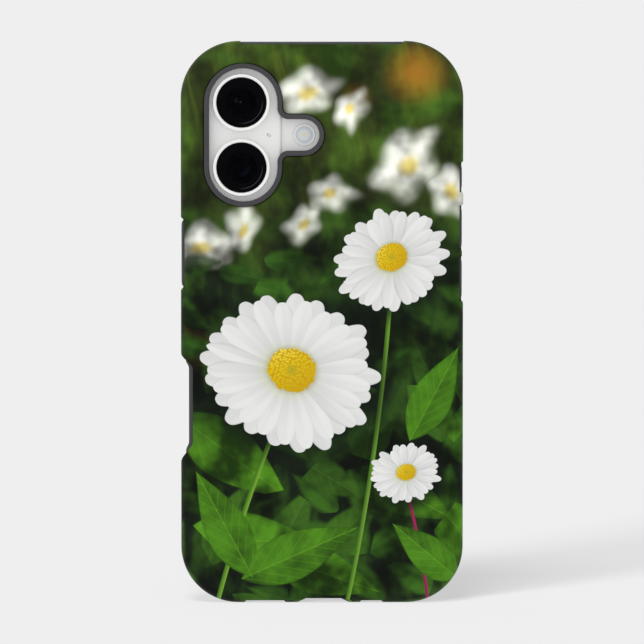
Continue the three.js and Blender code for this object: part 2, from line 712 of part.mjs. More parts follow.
function frameBand() {
  const seatY = GLASS_INNER_Y - PLATE_GAP;
  const edge = (direction) => phoneEdge(0, direction).slice(1);
  const lipInset = PHONE_INSET + GLASS_SEAT_WIDTH;
  const lipY = edge(1)[0][1];
  const band = caseBand([
    [lipInset, -lipY],
    ...edge(-1),
    ...edge(1).reverse(),
    [lipInset, lipY],
    [lipInset, seatY],
    [PHONE_INSET + FRAME_WALL, seatY],
    [PHONE_INSET + FRAME_WALL, -seatY],
    [lipInset, -seatY],
  ]);
  const keySlots = KEYS.map((key) => {
    const [from, to] = keySpan(key.side, PHONE_SIDE + OVERCUT, CAVITY_SIDE - OVERCUT);
    return prismX(keyOutline(key, key.halfHeight, KEY_CLEARANCE), from, to);
  });
  const through = [PHONE_BOTTOM - OVERCUT, CAVITY_BOTTOM + OVERCUT];
  const holes = [...SPEAKER_HOLES_X, ...MICROPHONE_HOLES_X].map((x) =>
    cylinderZ(x, 0, SPEAKER_HOLE_RADIUS, ...through, SMALL_SIDES / 2),
  );
  const screwHoles = [-SCREW_X, SCREW_X].map((x) => cylinderZ(x, 0, SCREW_HOLE_RADIUS, ...through));
  const portHole = prismZ(portOutline(KEY_CLEARANCE), ...through);
  return cut(band, ...keySlots, ...holes, ...screwHoles, portHole);
}

function glassPlate(direction) {
  const outer = PHONE_INSET + GLASS_SEAT_WIDTH + PLATE_GAP;
  const profile = [
    [outer, GLASS_INNER_Y],
    ...GLASS_ROUND.map(([inwards, below]) => [outer + inwards, HALF_PHONE - below]),
  ];
  return caseLoft(direction > 0 ? profile : profile.map(([inset, y]) => [inset, -y]).reverse());
}

function backGlass() {
  const plateau = loft([
    ...PLATEAU_ROUND.toReversed().map(([inwards, below]) => ({
      outline: pillOutline(PLATEAU_RADIUS - inwards),
      y: PLATEAU_Y + below,
    })),
    { outline: pillOutline(PLATEAU_RADIUS), y: -HALF_PHONE + GLASS_THICKNESS / 2 },
  ]);
  const pocketRadius = PLATEAU_RADIUS - 1.5 * PLATEAU_WALL;
  const pocket = prismY(pillOutline(pocketRadius), PLATEAU_Y + PLATEAU_WALL, 0);
  const through = [PLATEAU_Y - OVERCUT, 0];
  return cut(
    joined(glassPlate(-1), plateau),
    pocket,
    cylinderY(LENS_X, LENS_LOW_Z, LENS_NECK_RADIUS + PLATE_GAP, ...through, LENS_SIDES),
    cylinderY(LENS_X, LENS_HIGH_Z, LENS_NECK_RADIUS + PLATE_GAP, ...through, LENS_SIDES),
    cylinderY(FLASH_X, OPENING_Z, FLASH_RADIUS + PLATE_GAP, ...through, LENS_SIDES),
    cylinderY(MICROPHONE_X, OPENING_Z, MICROPHONE_PORT_RADIUS + PLATE_GAP, ...through, SMALL_SIDES),
  );
}

// Windows in the midplate for the front camera with the earpiece, and for the charging port
const WINDOW_MARGIN = 1.5;
const MIDPLATE_WINDOWS = [
  [
    EARPIECE.left - WINDOW_MARGIN,
    FRONT_CAMERA.right + WINDOW_MARGIN,
    FRONT_CAMERA.low - WINDOW_MARGIN,
    CAVITY_TOP + OVERCUT,
  ],
  [
    -PORT_HALF_WIDTH - WINDOW_MARGIN,
    PORT_HALF_WIDTH + WINDOW_MARGIN,
    CAVITY_BOTTOM - OVERCUT,
    PHONE_BOTTOM + PORT_DEPTH + WINDOW_MARGIN,
  ],
];

// A flat plate that fills the frame
function innerPlate(yFrom, yTo) {
  const edge = PHONE_INSET + FRAME_WALL + 2 * PLATE_GAP;
  return prismY(caseOutline(edge), yFrom, yTo);
}

function midplate() {
  const through = [MIDPLATE_BACK_Y - OVERCUT, MIDPLATE_FRONT_Y + OVERCUT];
  const windows = MIDPLATE_WINDOWS.map(([left, right, low, high]) =>
    block(left, right, ...through, low, high),
  );
  return cut(innerPlate(MIDPLATE_BACK_Y, MIDPLATE_FRONT_Y), ...windows);
}

addPiece('frame_band', frameBand(), FINISH.frame);
addPiece('back_glass', backGlass(), FINISH.backGlass);
addPiece('display_glass', glassPlate(1), FINISH.darkGlass);
addPiece('display_panel', innerPlate(PANEL_BACK_Y, PANEL_FRONT_Y), FINISH.black);
addPiece('midplate', midplate(), FINISH.aluminium);

// ---- Keys and their switches -----------------------------------------------------------------

// A key fills its slot in the frame and has a flange inside that keeps it from falling out
function keySolid(key) {
  const span = keySpan(key.side, PHONE_SIDE + key.stand, CAVITY_SIDE - KEY_INNER_GAP);
  const flangeOuter = CAVITY_SIDE - PLATE_GAP;
  const flangeSpan = keySpan(key.side, flangeOuter, flangeOuter - KEY_FLANGE);
  const flange = { from: key.from - KEY_FLANGE, to: key.to + KEY_FLANGE };
  return joined(
    prismX(keyOutline(key, key.halfHeight, 0), ...span),
    prismX(keyOutline(flange, key.halfHeight, 0), ...flangeSpan),
  );
}

function keySwitch(key) {
  const outer = CAVITY_SIDE - KEY_FLANGE - key.travel - 2 * PLATE_GAP;
  const [from, to] = keySpan(key.side, outer, outer - SWITCH_THICKNESS);
  const middle = (key.from + key.to) / 2;
  const reach = Math.min(SWITCH_HALF_LENGTH, (key.to - key.from) / 2);
  return block(from, to, -KEY_HALF_HEIGHT, STACK_FRONT_Y, middle - reach, middle + reach);
}

for (const key of KEYS) {
  addPiece(key.name, keySolid(key), FINISH.frame);
  addPiece(key.name.replace('_key', '_switch'), keySwitch(key), FINISH.steel);
}

// ---- Cameras, flash and rear microphone ------------------------------------------------------

const RING_SEAT_Y = PLATEAU_Y - PLATE_GAP;
const RING_LEDGE_Y = LENS_RING_Y + LEDGE_BELOW_RING;
const RING_FOOT_Y = -HALF_PHONE;
const LENS_GLASS_Y = LENS_RING_Y + GLASS_BELOW_RING;

function lensRing(z) {
  const glassSeat = LENS_GLASS_RADIUS + PLATE_GAP;
  return turnedY(LENS_X, z, [
    [LENS_RING_RADIUS, RING_SEAT_Y],
    [LENS_RING_RADIUS, LENS_RING_Y + RING_CHAMFER],
    [LENS_RING_RADIUS - RING_CHAMFER, LENS_RING_Y],
    [glassSeat, LENS_RING_Y],
    [glassSeat, RING_LEDGE_Y],
    [RING_BORE_RADIUS, RING_LEDGE_Y],
    [RING_BORE_RADIUS, RING_FOOT_Y],
    [LENS_NECK_RADIUS, RING_FOOT_Y],
    [LENS_NECK_RADIUS, RING_SEAT_Y],
    [LENS_RING_RADIUS, RING_SEAT_Y],
  ]);
}

function lensGlass(z) {
  return cylinderY(LENS_X, z, LENS_GLASS_RADIUS, LENS_GLASS_Y, RING_LEDGE_Y - PLATE_GAP, LENS_SIDES);
}

// A square body on the midplate with a stepped barrel that reaches up to the lens glass
function cameraModule(z) {
  const half = CAMERA_BODY_HALF_WIDTH;
  const body = block(LENS_X - half, LENS_X + half, CAMERA_BODY_BACK_Y, STACK_FRONT_Y, z - half, z + half);
  const barrel = turnedY(LENS_X, z, [
    [0, CAMERA_BODY_BACK_Y + OVERCUT],
    [BARREL_RADIUS, CAMERA_BODY_BACK_Y + OVERCUT],
    [BARREL_RADIUS, BARREL_SHOULDER_Y],
    [BARREL_TIP_RADIUS, BARREL_SHOULDER_Y],
    [BARREL_TIP_RADIUS, RING_LEDGE_Y + MOUTH_BELOW_LEDGE],
    [BARREL_MOUTH_RADIUS, RING_LEDGE_Y + MOUTH_BELOW_LEDGE],
    [LENS_ELEMENT_RADIUS, RING_LEDGE_Y + ELEMENT_BELOW_LEDGE],
    [0, RING_LEDGE_Y + ELEMENT_BELOW_LEDGE - LENS_ELEMENT_RISE],
  ]);
  return joined(body, barrel);
}

for (const [place, z] of [['upper', LENS_HIGH_Z], ['lower', LENS_LOW_Z]]) {
  addPiece(`${place}_lens_ring`, lensRing(z), FINISH.ring);
  addPiece(`${place}_lens_glass`, lensGlass(z), FINISH.darkGlass);
  addPiece(`${place}_camera_module`, cameraModule(z), FINISH.black);
}

const FLASH_INNER_Y = -GLASS_INNER_Y;
const LAMP_END_Y = FLASH_INNER_Y + LAMP_DEPTH;
addPiece(
  'flash_cover',
  cylinderY(FLASH_X, OPENING_Z, FLASH_RADIUS, -HALF_PHONE, FLASH_INNER_Y, LENS_SIDES),
  FINISH.flash,
);
addPiece(
  'flash_board',
  joined(
    cylinderY(FLASH_X, OPENING_Z, LAMP_RADIUS, FLASH_INNER_Y + PLATE_GAP, LAMP_END_Y),
    block(
      FLASH_X - FLASH_BOARD.left,
      FLASH_X + FLASH_BOARD.right,
      LAMP_END_Y - PLATE_GAP,
      LAMP_END_Y - PLATE_GAP + FLASH_BOARD.thickness,
      OPENING_Z - FLASH_BOARD.halfHeight,
      OPENING_Z + FLASH_BOARD.halfHeight,
    ),
  ),
  FINISH.board,
);

function rearMicrophone() {
  const portSpan = [PLATEAU_Y + PLATE_GAP, MICROPHONE_PORT_END_Y];
  const bodySpan = [PLATEAU_Y + PLATEAU_WALL + PLATE_GAP, MICROPHONE_BODY_END_Y];
  return joined(
    cylinderY(MICROPHONE_X, OPENING_Z, MICROPHONE_PORT_RADIUS, ...portSpan),
    cylinderY(MICROPHONE_X, OPENING_Z, MICROPHONE_BODY_RADIUS, ...bodySpan),
  );
}

addPiece('rear_microphone', rearMicrophone(), FINISH.black);

// ---- Inside the phone ------------------------------------------------------------------------

// A plate with rounded corners between a component's edges
function componentPlate({ low, high, corner }, left, right, yFrom, yTo) {
  return prismY(roundedRectangle(left, right, low, high, corner), yFrom, yTo);
}

const BOARD_RIGHT = CAVITY_SIDE - BOARD.edge;
const SHIELD_RIGHT = CAVITY_SIDE - SHIELD.edge;
const SHIELD_FRONT_Y = BOARD.backY - PLATE_GAP;

addPiece(
  'battery',
  componentPlate(BATTERY, -CAVITY_SIDE + BATTERY.left, BATTERY.right, STACK_BACK_Y, STACK_FRONT_Y),
  FINISH.black,
);
addPiece(
  'logic_board',
  componentPlate(BOARD, BOARD.left, BOARD_RIGHT, BOARD.backY, STACK_FRONT_Y),
  FINISH.board,
);
for (const [name, [low, high]] of Object.entries(SHIELD_SPANS)) {
  const plate = { low, high, corner: SHIELD.corner };
  const span = [SHIELD_FRONT_Y - SHIELD.height, SHIELD_FRONT_Y];
  addPiece(name, componentPlate(plate, SHIELD.left, SHIELD_RIGHT, ...span), FINISH.steel);
}

// A flat ring about the charging centre
function flatRing([inner, outer]) {
  return turnedY(0, CHARGING_CENTRE_Z, [
    [inner, COIL_BACK_Y],
    [outer, COIL_BACK_Y],
    [outer, COIL_FRONT_Y],
    [inner, COIL_FRONT_Y],
    [inner, COIL_BACK_Y],
  ]);
}

// The magnet ring is open at its lowest point
function magnetRing() {
  const half = MAGNET_GAP_HALF_WIDTH;
  const gapLow = CHARGING_CENTRE_Z - MAGNET_RADII[1] - OVERCUT;
  return cut(flatRing(MAGNET_RADII), block(-half, half, -HALF_PHONE, 0, gapLow, CHARGING_CENTRE_Z));
}

addPiece('charging_coil', flatRing(COIL_RADII), FINISH.copper);
addPiece('magnet_ring', magnetRing(), FINISH.steel);

function frontCamera() {
  const { left, right, low, high, depth, lensZ } = FRONT_CAMERA;
  const body = block(left, right, STACK_FRONT_Y - depth, MIDPLATE_BACK_Y + 2 * PLATE_GAP, low, high);
  const lensSpan = [MIDPLATE_BACK_Y, PANEL_BACK_Y - PLATE_GAP];
  return joined(body, cylinderY((left + right) / 2, lensZ, FRONT_CAMERA_LENS_RADIUS, ...lensSpan));
}

function earpieceSpeaker() {
  const { left, right, low, depth } = EARPIECE;
  return block(left, right, STACK_FRONT_Y - depth, MIDPLATE_FRONT_Y, low, CAVITY_TOP - 2 * PLATE_GAP);
}

// The loudspeaker box, with a snout against the holes in the frame
function bottomSpeaker() {
  const span = [STACK_FRONT_Y - SPEAKER.depth, STACK_FRONT_Y];
  const box = componentPlate(SPEAKER, SPEAKER.left, SPEAKER.right, ...span);
  const snoutFrontY = STACK_FRONT_Y - 2 * PLATE_GAP;
  const snoutLow = CAVITY_BOTTOM + 2 * PLATE_GAP;
  return joined(box, block(SNOUT.left, SNOUT.right, SNOUT.backY, snoutFrontY, snoutLow, SNOUT.high));
}

addPiece('front_camera', frontCamera(), FINISH.black);
addPiece('earpiece_speaker', earpieceSpeaker(), FINISH.black);
addPiece(
  'haptic_motor',
  componentPlate(HAPTIC, HAPTIC.left, HAPTIC.right, STACK_FRONT_Y - HAPTIC.depth, STACK_FRONT_Y),
  FINISH.steel,
);
addPiece('bottom_speaker', bottomSpeaker(), FINISH.black);

// A metal sleeve with a contact tongue on its back wall
function chargingPort() {
  const zFrom = PHONE_BOTTOM + PORT_BELOW_EDGE;
  const zTo = zFrom + PORT_DEPTH;
  const { halfWidth, halfThickness, below, root } = TONGUE;
  const sleeve = prismZ(portOutline(0), zFrom, zTo);
  const bore = prismZ(portOutline(-PORT_WALL), zFrom - OVERCUT, zTo - PORT_END_WALL);
  const tongue = block(-halfWidth, halfWidth, -halfThickness, halfThickness, zFrom + below, zTo - root);
  return joined(cut(sleeve, bore), tongue);
}

// A flat strip with an upstand behind the port
function portFlex() {
  const { halfWidth, backY, thickness, low, high } = FLEX;
  const frontY = backY + thickness;
  const upstandLow = PHONE_BOTTOM + PORT_DEPTH + FLEX_UPSTAND.gap;
  const upstandHigh = upstandLow + FLEX_UPSTAND.thickness;
  return joined(
    block(-halfWidth, halfWidth, backY, frontY, CAVITY_BOTTOM + low, high),
    block(-halfWidth, halfWidth, FLEX_UPSTAND.backY, frontY, upstandLow, upstandHigh),
  );
}

addPiece('charging_port', chargingPort(), FINISH.steel);
addPiece('port_flex', portFlex(), FINISH.board);

function bottomScrew(x) {
  const { below, headRadius, headEnd, shankRadius, shankStart, reach } = SCREW;
  return joined(
    cylinderZ(x, 0, headRadius, PHONE_BOTTOM + below, PHONE_BOTTOM + headEnd),
    cylinderZ(x, 0, shankRadius, PHONE_BOTTOM + shankStart, CAVITY_BOTTOM + reach),
  );
}

addPiece('bottom_screw_left', bottomScrew(-SCREW_X), FINISH.steel);
addPiece('bottom_screw_right', bottomScrew(SCREW_X), FINISH.steel);

// ---- Place in the part's frame ---------------------------------------------------------------

object.position.y = -(CAMERA_RIM_Y + LINER_FRONT_Y) / 2;

export default object;
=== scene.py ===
# A phone in a two-piece protective case, standing on its bottom edge with its back to the camera.
# Shapes are worked out in millimetres, in the phone's own frame: X across, Z up, and Y = 0 in the
# middle of the phone's thickness. Left and right are as seen from the camera side.
import json
import math

import bmesh
import bpy
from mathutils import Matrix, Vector


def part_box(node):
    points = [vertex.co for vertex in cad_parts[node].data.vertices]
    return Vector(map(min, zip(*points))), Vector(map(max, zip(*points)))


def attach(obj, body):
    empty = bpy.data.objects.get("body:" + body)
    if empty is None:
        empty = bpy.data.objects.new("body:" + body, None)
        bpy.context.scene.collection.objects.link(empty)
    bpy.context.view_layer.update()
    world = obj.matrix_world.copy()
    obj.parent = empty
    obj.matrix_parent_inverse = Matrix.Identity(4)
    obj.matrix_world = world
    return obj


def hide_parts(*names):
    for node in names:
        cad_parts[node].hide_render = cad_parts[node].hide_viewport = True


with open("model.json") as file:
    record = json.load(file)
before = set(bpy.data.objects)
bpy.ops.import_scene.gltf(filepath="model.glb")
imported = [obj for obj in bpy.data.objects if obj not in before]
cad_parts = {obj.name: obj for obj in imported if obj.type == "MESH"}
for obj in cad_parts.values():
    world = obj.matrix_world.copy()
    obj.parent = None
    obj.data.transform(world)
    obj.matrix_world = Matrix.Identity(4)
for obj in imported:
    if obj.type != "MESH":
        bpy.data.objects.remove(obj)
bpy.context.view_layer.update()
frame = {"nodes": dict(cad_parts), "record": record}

MM = 0.001
ROOT = "phone_in_case"

# ---- Sizes taken from the frame, in millimetres ----------------------------------------------

PHONE_MIDDLE_Y = sum(corner.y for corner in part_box("frame_band")) / 2


def box_mm(node):
    """A node's lowest and highest corner in millimetres, in the phone's own frame."""
    return [(corner - Vector((0, PHONE_MIDDLE_Y, 0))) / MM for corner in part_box(node)]


def middle_mm(node, axis):
    """The middle of a node's box along an axis, in millimetres."""
    return sum(getattr(corner, axis) for corner in box_mm(node)) / 2


SHELL_LOW, SHELL_HIGH = box_mm("outer_shell")
LINER_LOW, LINER_HIGH = box_mm("inner_liner")
PHONE_LOW, PHONE_HIGH = box_mm("frame_band")

CASE_WIDTH = SHELL_HIGH.x - SHELL_LOW.x
CASE_HEIGHT = SHELL_HIGH.z
SHELL_BACK_Y = SHELL_LOW.y
SHELL_FRONT_Y = SHELL_HIGH.y
CAMERA_RIM_Y = LINER_LOW.y
LINER_FRONT_Y = LINER_HIGH.y
PHONE_INSET = PHONE_LOW.z
PHONE_BACK_Y = -box_mm("display_glass")[1].y
PLATEAU_Y = box_mm("back_glass")[0].y

# ---- Sizes of the case's walls and curves ----------------------------------------------------

CASE_CORNER = 15.7
SHELL_WALL = 1.25
SHELL_BACK = 1.1
FIT_GAP = 0.1
LINER_WALL = 1.6
LINER_INSET = SHELL_WALL + FIT_GAP
BACK_REACH = 6.0
BACK_CURVE_Y = -3.15
SHELL_INNER_Y = SHELL_BACK_Y + SHELL_BACK
LINER_BACK_Y = SHELL_INNER_Y + FIT_GAP
PHONE_EDGE_ROUND = 1.0

# Camera opening: a tall pill with a bump to the right
OPENING_X = -21.615
OPENING_Z = 129.1
OPENING_RADIUS = 10.845
OPENING_HALF_SPAN = 8.9
BUMP_X = -5.06
BUMP_RADIUS = 5.8
BUMP_FILLET = 1.6
CAMERA_RIM_WIDTH = 1.45
RIM_ROUND = 0.35

# Cut-outs along the edges, each from and to a place along its side
BOTTOM_NOTCHES = {
    "port": dict(start=-7.0, end=7.8, depth=1.3, slope=2.6),
    "speaker": dict(start=-21.5, end=-9.9, depth=0.65, slope=0.65),
    "microphone": dict(start=10.25, end=16.9, depth=0.65, slope=0.65),
}
TOP_GAP = dict(start=-22.6, end=22.55, depth=0.8, slope=0.8)
KEY_RECESS = dict(start=38.8, end=69.1, low_ramp=6.0, high_ramp=4.4, shell=3.3, liner=2.2)
PAD_WINDOW_MARGIN = 0.5
PAD_WINDOW_DEPTH = 1.05
PAD_WINDOW_FRONT_Y = 3.2
PADS = {
    "side_button": dict(side="left", recess=0.5),
    "action_button": dict(side="right", recess=0.35),
    "volume_up": dict(side="right", recess=0.35),
    "volume_down": dict(side="right", recess=0.35),
}
for pad_name, pad in PADS.items():
    low, high = box_mm(f"{pad_name}_cover")
    pad["low"], pad["high"] = low, high
    pad["start"], pad["end"] = low.z - PAD_WINDOW_MARGIN, high.z + PAD_WINDOW_MARGIN

PAD_CLEARANCE = 0.25
PAD_CORNER = 1.4
# The covers' crown, from the middle outwards: how far in from the side, and how far below the top
PAD_CROWN = ((2.2, 0.0), (1.3, 0.04), (0.75, 0.1), (0.4, 0.2), (0.18, 0.34), (0.05, 0.52), (0, 0.75))
PAD_CROWN_CORNER = 0.3
PLINTH_CLEARANCE = 0.25
PLINTH_FRONT_ROUND = 1.0
PLINTH_EDGE = 0.1
PLINTH_DROP = 0.2
PLINTH_END_GAP = 0.12
LIP_ROUND_IN = 0.85
LIP_ROUND_DOWN = 0.45
# The window widens at the lip's front: how far out from its wall, and how far below the front
WINDOW_EDGE = ((0, 0.25), (0.1, 0.08), (0.35, 0))
SLOT_DEPTH = 3.35
PORT_SLOT = (-6.4, 6.9)
PORT_SLOT_HALF_HEIGHT = 2.9
BOTTOM_SLOT_HALF_HEIGHT = 1.7
BOTTOM_SLOT_ROUNDNESS = 0.8
BOTTOM_SLOT_INSET = 1
KEY_WINDOW_MARGIN = 0.8
KEY_WINDOW_CORNER = 1.5
SHELL_EDGE_SOFTNESS = 0.14

# ---- Sizes of the phone's parts --------------------------------------------------------------

FRAME_WALL = 1.9
# The step of the phone's rounded edge at which the band meets the pane
BAND_FIRST_STEP = 3
GLASS_THICKNESS = 0.8
GLASS_SEAT_WIDTH = 0.62
GLASS_ROUND_IN = 0.8
GLASS_ROUND_DOWN = 0.2
PLATE_GAP = 0.1
KEY_CLEARANCE = 0.15
KEY_ROUNDNESS = 0.9
KEY_FLANGE = 0.4
KEY_FLANGE_STEP = 0.001
# The keys' rounded edge, from the face outwards: how far in from the side, and how far below the face
KEY_EDGE = ((0.3, 0), (0.14, 0.04), (0.04, 0.14), (0, 0.3))
KEY_SIDES = {
    "side_button_key": "left",
    "action_button_key": "right",
    "volume_up_key": "right",
    "volume_down_key": "right",
    "camera_key": "left",
}
# The speaker's and the microphone's row of holes: how many, and the first one's X
HOLE_ROWS = ((5, -19.6), (3, 11.6))
HOLE_SPACING = 2.1
HOLE_RADIUS = 0.75
SCREW_HOLE_RADIUS = 0.95
SCREW_HEAD = 0.8
SCREW_SHANK_RADIUS = 0.5
SCREW_RECESS_RADIUS = 0.36
SCREW_RECESS_DEPTH = 0.45
# The dome of a screw's head: how far in from its side, and how far above the head's top
SCREW_DOME = ((0.12, 0.04), (0, 0.18))
SCREW_RECESS_EDGE = 0.06
PORT_WALL = 0.35
PORT_ROUNDNESS = 0.95
PORT_END_WALL = 0.8
# The port's mouth, from the outside inwards: how far in from its side, and how far up
PORT_MOUTH = ((0, 0.12), (0.04, 0.04), (0.12, 0), (PORT_WALL - 0.06, 0.06), (PORT_WALL, 0.24))
# The tongue's half width, half thickness, depth below the mouth and length sunk into the end wall
TONGUE = (3.3, 0.35, 1.1, 0.4)
TONGUE_ROUNDNESS = 0.6
TONGUE_EDGE = 0.08
EARPIECE_HALF_WIDTH = 5.2
EARPIECE_HEIGHT = 0.35
EARPIECE_INSET = 4.75
EARPIECE_DEPTH = 0.3
BEZEL = 1.75
ISLAND_HALF_WIDTH = 10.2
ISLAND_RADIUS = 3.0
ISLAND_Z = CASE_HEIGHT - PHONE_INSET - 6.1
ISLAND_EYE_X = 6.6
AERIAL_X = 23.5
AERIAL_OFF_MIDDLE = 57.0
# How far off the middle of an aerial's line its colour starts and is full
AERIAL_EDGE = (0.55, 0.45)
CHARGING_CENTRE_Z = 72.0

# Cameras
LENS_X = middle_mm("upper_lens_ring", "x")
LENS_HIGH_Z = middle_mm("upper_lens_ring", "z")
LENS_LOW_Z = middle_mm("lower_lens_ring", "z")
RING_RADIUS = box_mm("upper_lens_ring")[1].x - LENS_X
GLASS_RADIUS = box_mm("upper_lens_glass")[1].x - LENS_X
RING_LEDGE = 0.55
RING_BORE = 6.0
RING_ROUND = 0.12
RING_INNER_ROUND = 0.08
GLASS_EDGE = 0.08
LENS_NECK_RADIUS = 6.4
PLATEAU_RADIUS = 10.9
PLATEAU_WALL = 0.8
PLATEAU_ROUND_IN = 0.8
PLATEAU_ROUND_DOWN = 0.5
# The plateau's foot spreads out: how far in from its side, below 0, and how far below its top
PLATEAU_FLARE = ((-0.02, 0.72), (-0.12, 0.83), (-0.35, 0.9))
FLASH_X = middle_mm("flash_cover", "x")
FLASH_RADIUS = box_mm("flash_cover")[1].x - FLASH_X
FLASH_RINGS = 9
FLASH_MIDDLE_RADIUS = 0.35
FLASH_MIDDLE_DROP = 0.06
FLASH_PLAIN_EDGE = 0.25
# A ring's groove and crest, and the edge from the middle outwards: how far in, and how far below the top
FLASH_RING = ((0.13, 0.09), (0, 0.04))
FLASH_EDGE = ((0.35, 0.04), (0.25, 0), (0.05, 0), (0, 0.06))
MICROPHONE_X = middle_mm("rear_microphone", "x")
MICROPHONE_RADIUS = 0.55
MICROPHONE_HOLLOW = 0.03
MICROPHONE_BEVEL = (0.05, 0.06)
# Each dot: how far right of and above the microphone's middle, and its radius
MICROPHONE_DOTS = ((-0.26, 0.06, 0.27), (0.30, -0.30, 0.24))
INSERT_GAP = 0.03
CAMERA_BODY_BACK_Y = -1.6
CAMERA_BODY_CORNER = 1.0
BARREL_RADIUS = 5.6
BARREL_TIP_RADIUS = 5.0
BARREL_SHOULDER_Y = -4.6
BARREL_LIP = 0.5
BARREL_MOUTH_DEPTH = 1.1
BAFFLES = 5
BAFFLE_EDGE = 0.18
BAFFLE_RISE = 0.1
FRONT_LENS_RADIUS = 2.5
FRONT_LENS_CURVE = 4.3

# ---- Meshes ----------------------------------------------------------------------------------


def to_metres(point):
    """A millimetre point in the phone's own frame, in metres in the part's frame."""
    x, y, z = point
    return Vector((x * MM, y * MM + PHONE_MIDDLE_Y, z * MM))


def add_object(name, data):
    """A new object in the scene."""
    made = bpy.data.objects.new(name, data)
    bpy.context.scene.collection.objects.link(made)
    return made


def mesh_object(name, builder, smooth=True):
    """A linked object from a filled bmesh whose points are millimetres in the phone's own frame."""
    bmesh.ops.recalc_face_normals(builder, faces=builder.faces)
    for vertex in builder.verts:
        vertex.co = to_metres(vertex.co)
    for face in builder.faces:
        face.smooth = smooth
    data = bpy.data.meshes.new(name)
    builder.to_mesh(data)
    builder.free()
    return add_object(name, data)


def apply_modifiers(piece):
    """Turns a piece's modifiers into its mesh."""
    graph = bpy.context.evaluated_depsgraph_get()
    data = bpy.data.meshes.new_from_object(piece.evaluated_get(graph))
    piece.modifiers.clear()
    old = piece.data
    piece.data = data
    bpy.data.meshes.remove(old)
    data.name = piece.name
    return piece


def combine(piece, operation, others):
    """Joins or cuts a piece with others, which are used up."""
    for other in others:
        change = piece.modifiers.new("combine", "BOOLEAN")
        change.operation = operation
        change.object = other
        change.solver = "MANIFOLD"
    apply_modifiers(piece)
    for other in others:
        data = other.data
        bpy.data.objects.remove(other)
        bpy.data.meshes.remove(data)
    return piece


def soften(piece, width, angle=40, segments=2):
    """Rounds a piece's sharp edges by a width in millimetres."""
    bevel = piece.modifiers.new("soften", "BEVEL")
    bevel.width = width * MM
    bevel.segments = segments
    bevel.limit_method = "ANGLE"
    bevel.angle_limit = math.radians(angle)
    bevel.harden_normals = True
    return apply_modifiers(piece)


def shade_by_angle(piece, degrees=30):
    """Smooth shading, with edges sharper than an angle kept sharp."""
    builder = bmesh.new()
    builder.from_mesh(piece.data)
    limit = math.radians(degrees)
    for face in builder.faces:
        face.smooth = True
    for edge in builder.edges:
        edge.smooth = len(edge.link_faces) == 2 and edge.calc_face_angle(0) < limit
    builder.to_mesh(piece.data)
    builder.free()
    return piece


def arc(centre_u, centre_v, radius, start, end, steps):
    """Points along an arc, angles in degrees."""
    angles = [math.radians(start + (end - start) * i / steps) for i in range(steps + 1)]
    return [(centre_u + radius * math.cos(a), centre_v + radius * math.sin(a)) for a in angles]


def rounded_rectangle(u_low, u_high, v_low, v_high, radius, steps):
    """Points round a rectangle with rounded corners, counter-clockwise."""
    return [
        *arc(u_high - radius, v_low + radius, radius, -90, 0, steps),
        *arc(u_high - radius, v_high - radius, radius, 0, 90, steps),
        *arc(u_low + radius, v_high - radius, radius, 90, 180, steps),
        *arc(u_low + radius, v_low + radius, radius, 180, 270, steps),
    ]


def spaced(points):
    """Points without neighbours that coincide, also across the end."""
    kept = []
    for point in points:
        if not kept or math.dist(point, kept[-1]) > 1e-6:
            kept.append(point)
    while math.dist(kept[0], kept[-1]) < 1e-6:
        kept.pop()
    return kept


def bridge(builder, rings, closed=False):
    """Faces between rings of vertices; closed joins the last ring to the first. A ring may be one point."""
    for one, two in zip(rings, rings[1:] + ([rings[0]] if closed else [])):
        for i in range(max(len(one), len(two))):
            j = i + 1
            corners = (one[i % len(one)], one[j % len(one)], two[j % len(two)], two[i % len(two)])
            builder.faces.new(tuple(dict.fromkeys(corners)))


def ring_of(builder, points):
    """New vertices at 3-D points."""
    return [builder.verts.new(point) for point in points]


def loft(name, sections, smooth=True):
    """A closed solid through equally long rings of 3-D points, with a flat cap at each end."""
    builder = bmesh.new()
    rings = [ring_of(builder, section) for section in sections]
    bridge(builder, rings)
    builder.faces.new(rings[0])
    builder.faces.new(rings[-1])
    return mesh_object(name, builder, smooth)


def on_plane(points, axis, height):
    """Flat (u, v) points as 3-D points: axis is the direction that they are flat across."""
    if axis == "x":
        return [(height, u, v) for u, v in points]
    if axis == "y":
        return [(u, height, v) for u, v in points]
    return [(u, v, height) for u, v in points]


def turned(name, centre_u, centre_v, profile, segments, axis="y"):
    """A closed profile of (radius, height) points turned about an axis. Radius 0 ends at a pole."""
    builder = bmesh.new()
    rings = []
    for radius, height in profile:
        circle = [(centre_u, centre_v)]
        if radius:
            circle = arc(centre_u, centre_v, radius, 0, 360, segments)[:-1]
        rings.append(ring_of(builder, on_plane(circle, axis, height)))
    bridge(builder, rings, closed=len(rings[0]) > 1 and len(rings[-1]) > 1)
    return mesh_object(name, builder)


def sections(outline, places, axis="y"):
    """Rings along an axis: the outline that far in, at each of (inset, height) places."""
    return [on_plane(outline(inset), axis, height) for inset, height in places]


def centred(half_u, half_v, radius, steps):
    """A rounded rectangle about the origin."""
    return rounded_rectangle(-half_u, half_u, -half_v, half_v, radius, steps)


def prism(name, points, axis, start, end):
    """A solid with a flat outline, from one height along an axis to another."""
    points = spaced(points)
    return loft(name, [on_plane(points, axis, start), on_plane(points, axis, end)], smooth=False)


# ---- Columns round the case's outline --------------------------------------------------------

CORNER_STEPS = 28
EDGE_SPACING = 4.0
HALF_WIDTH = CASE_WIDTH / 2


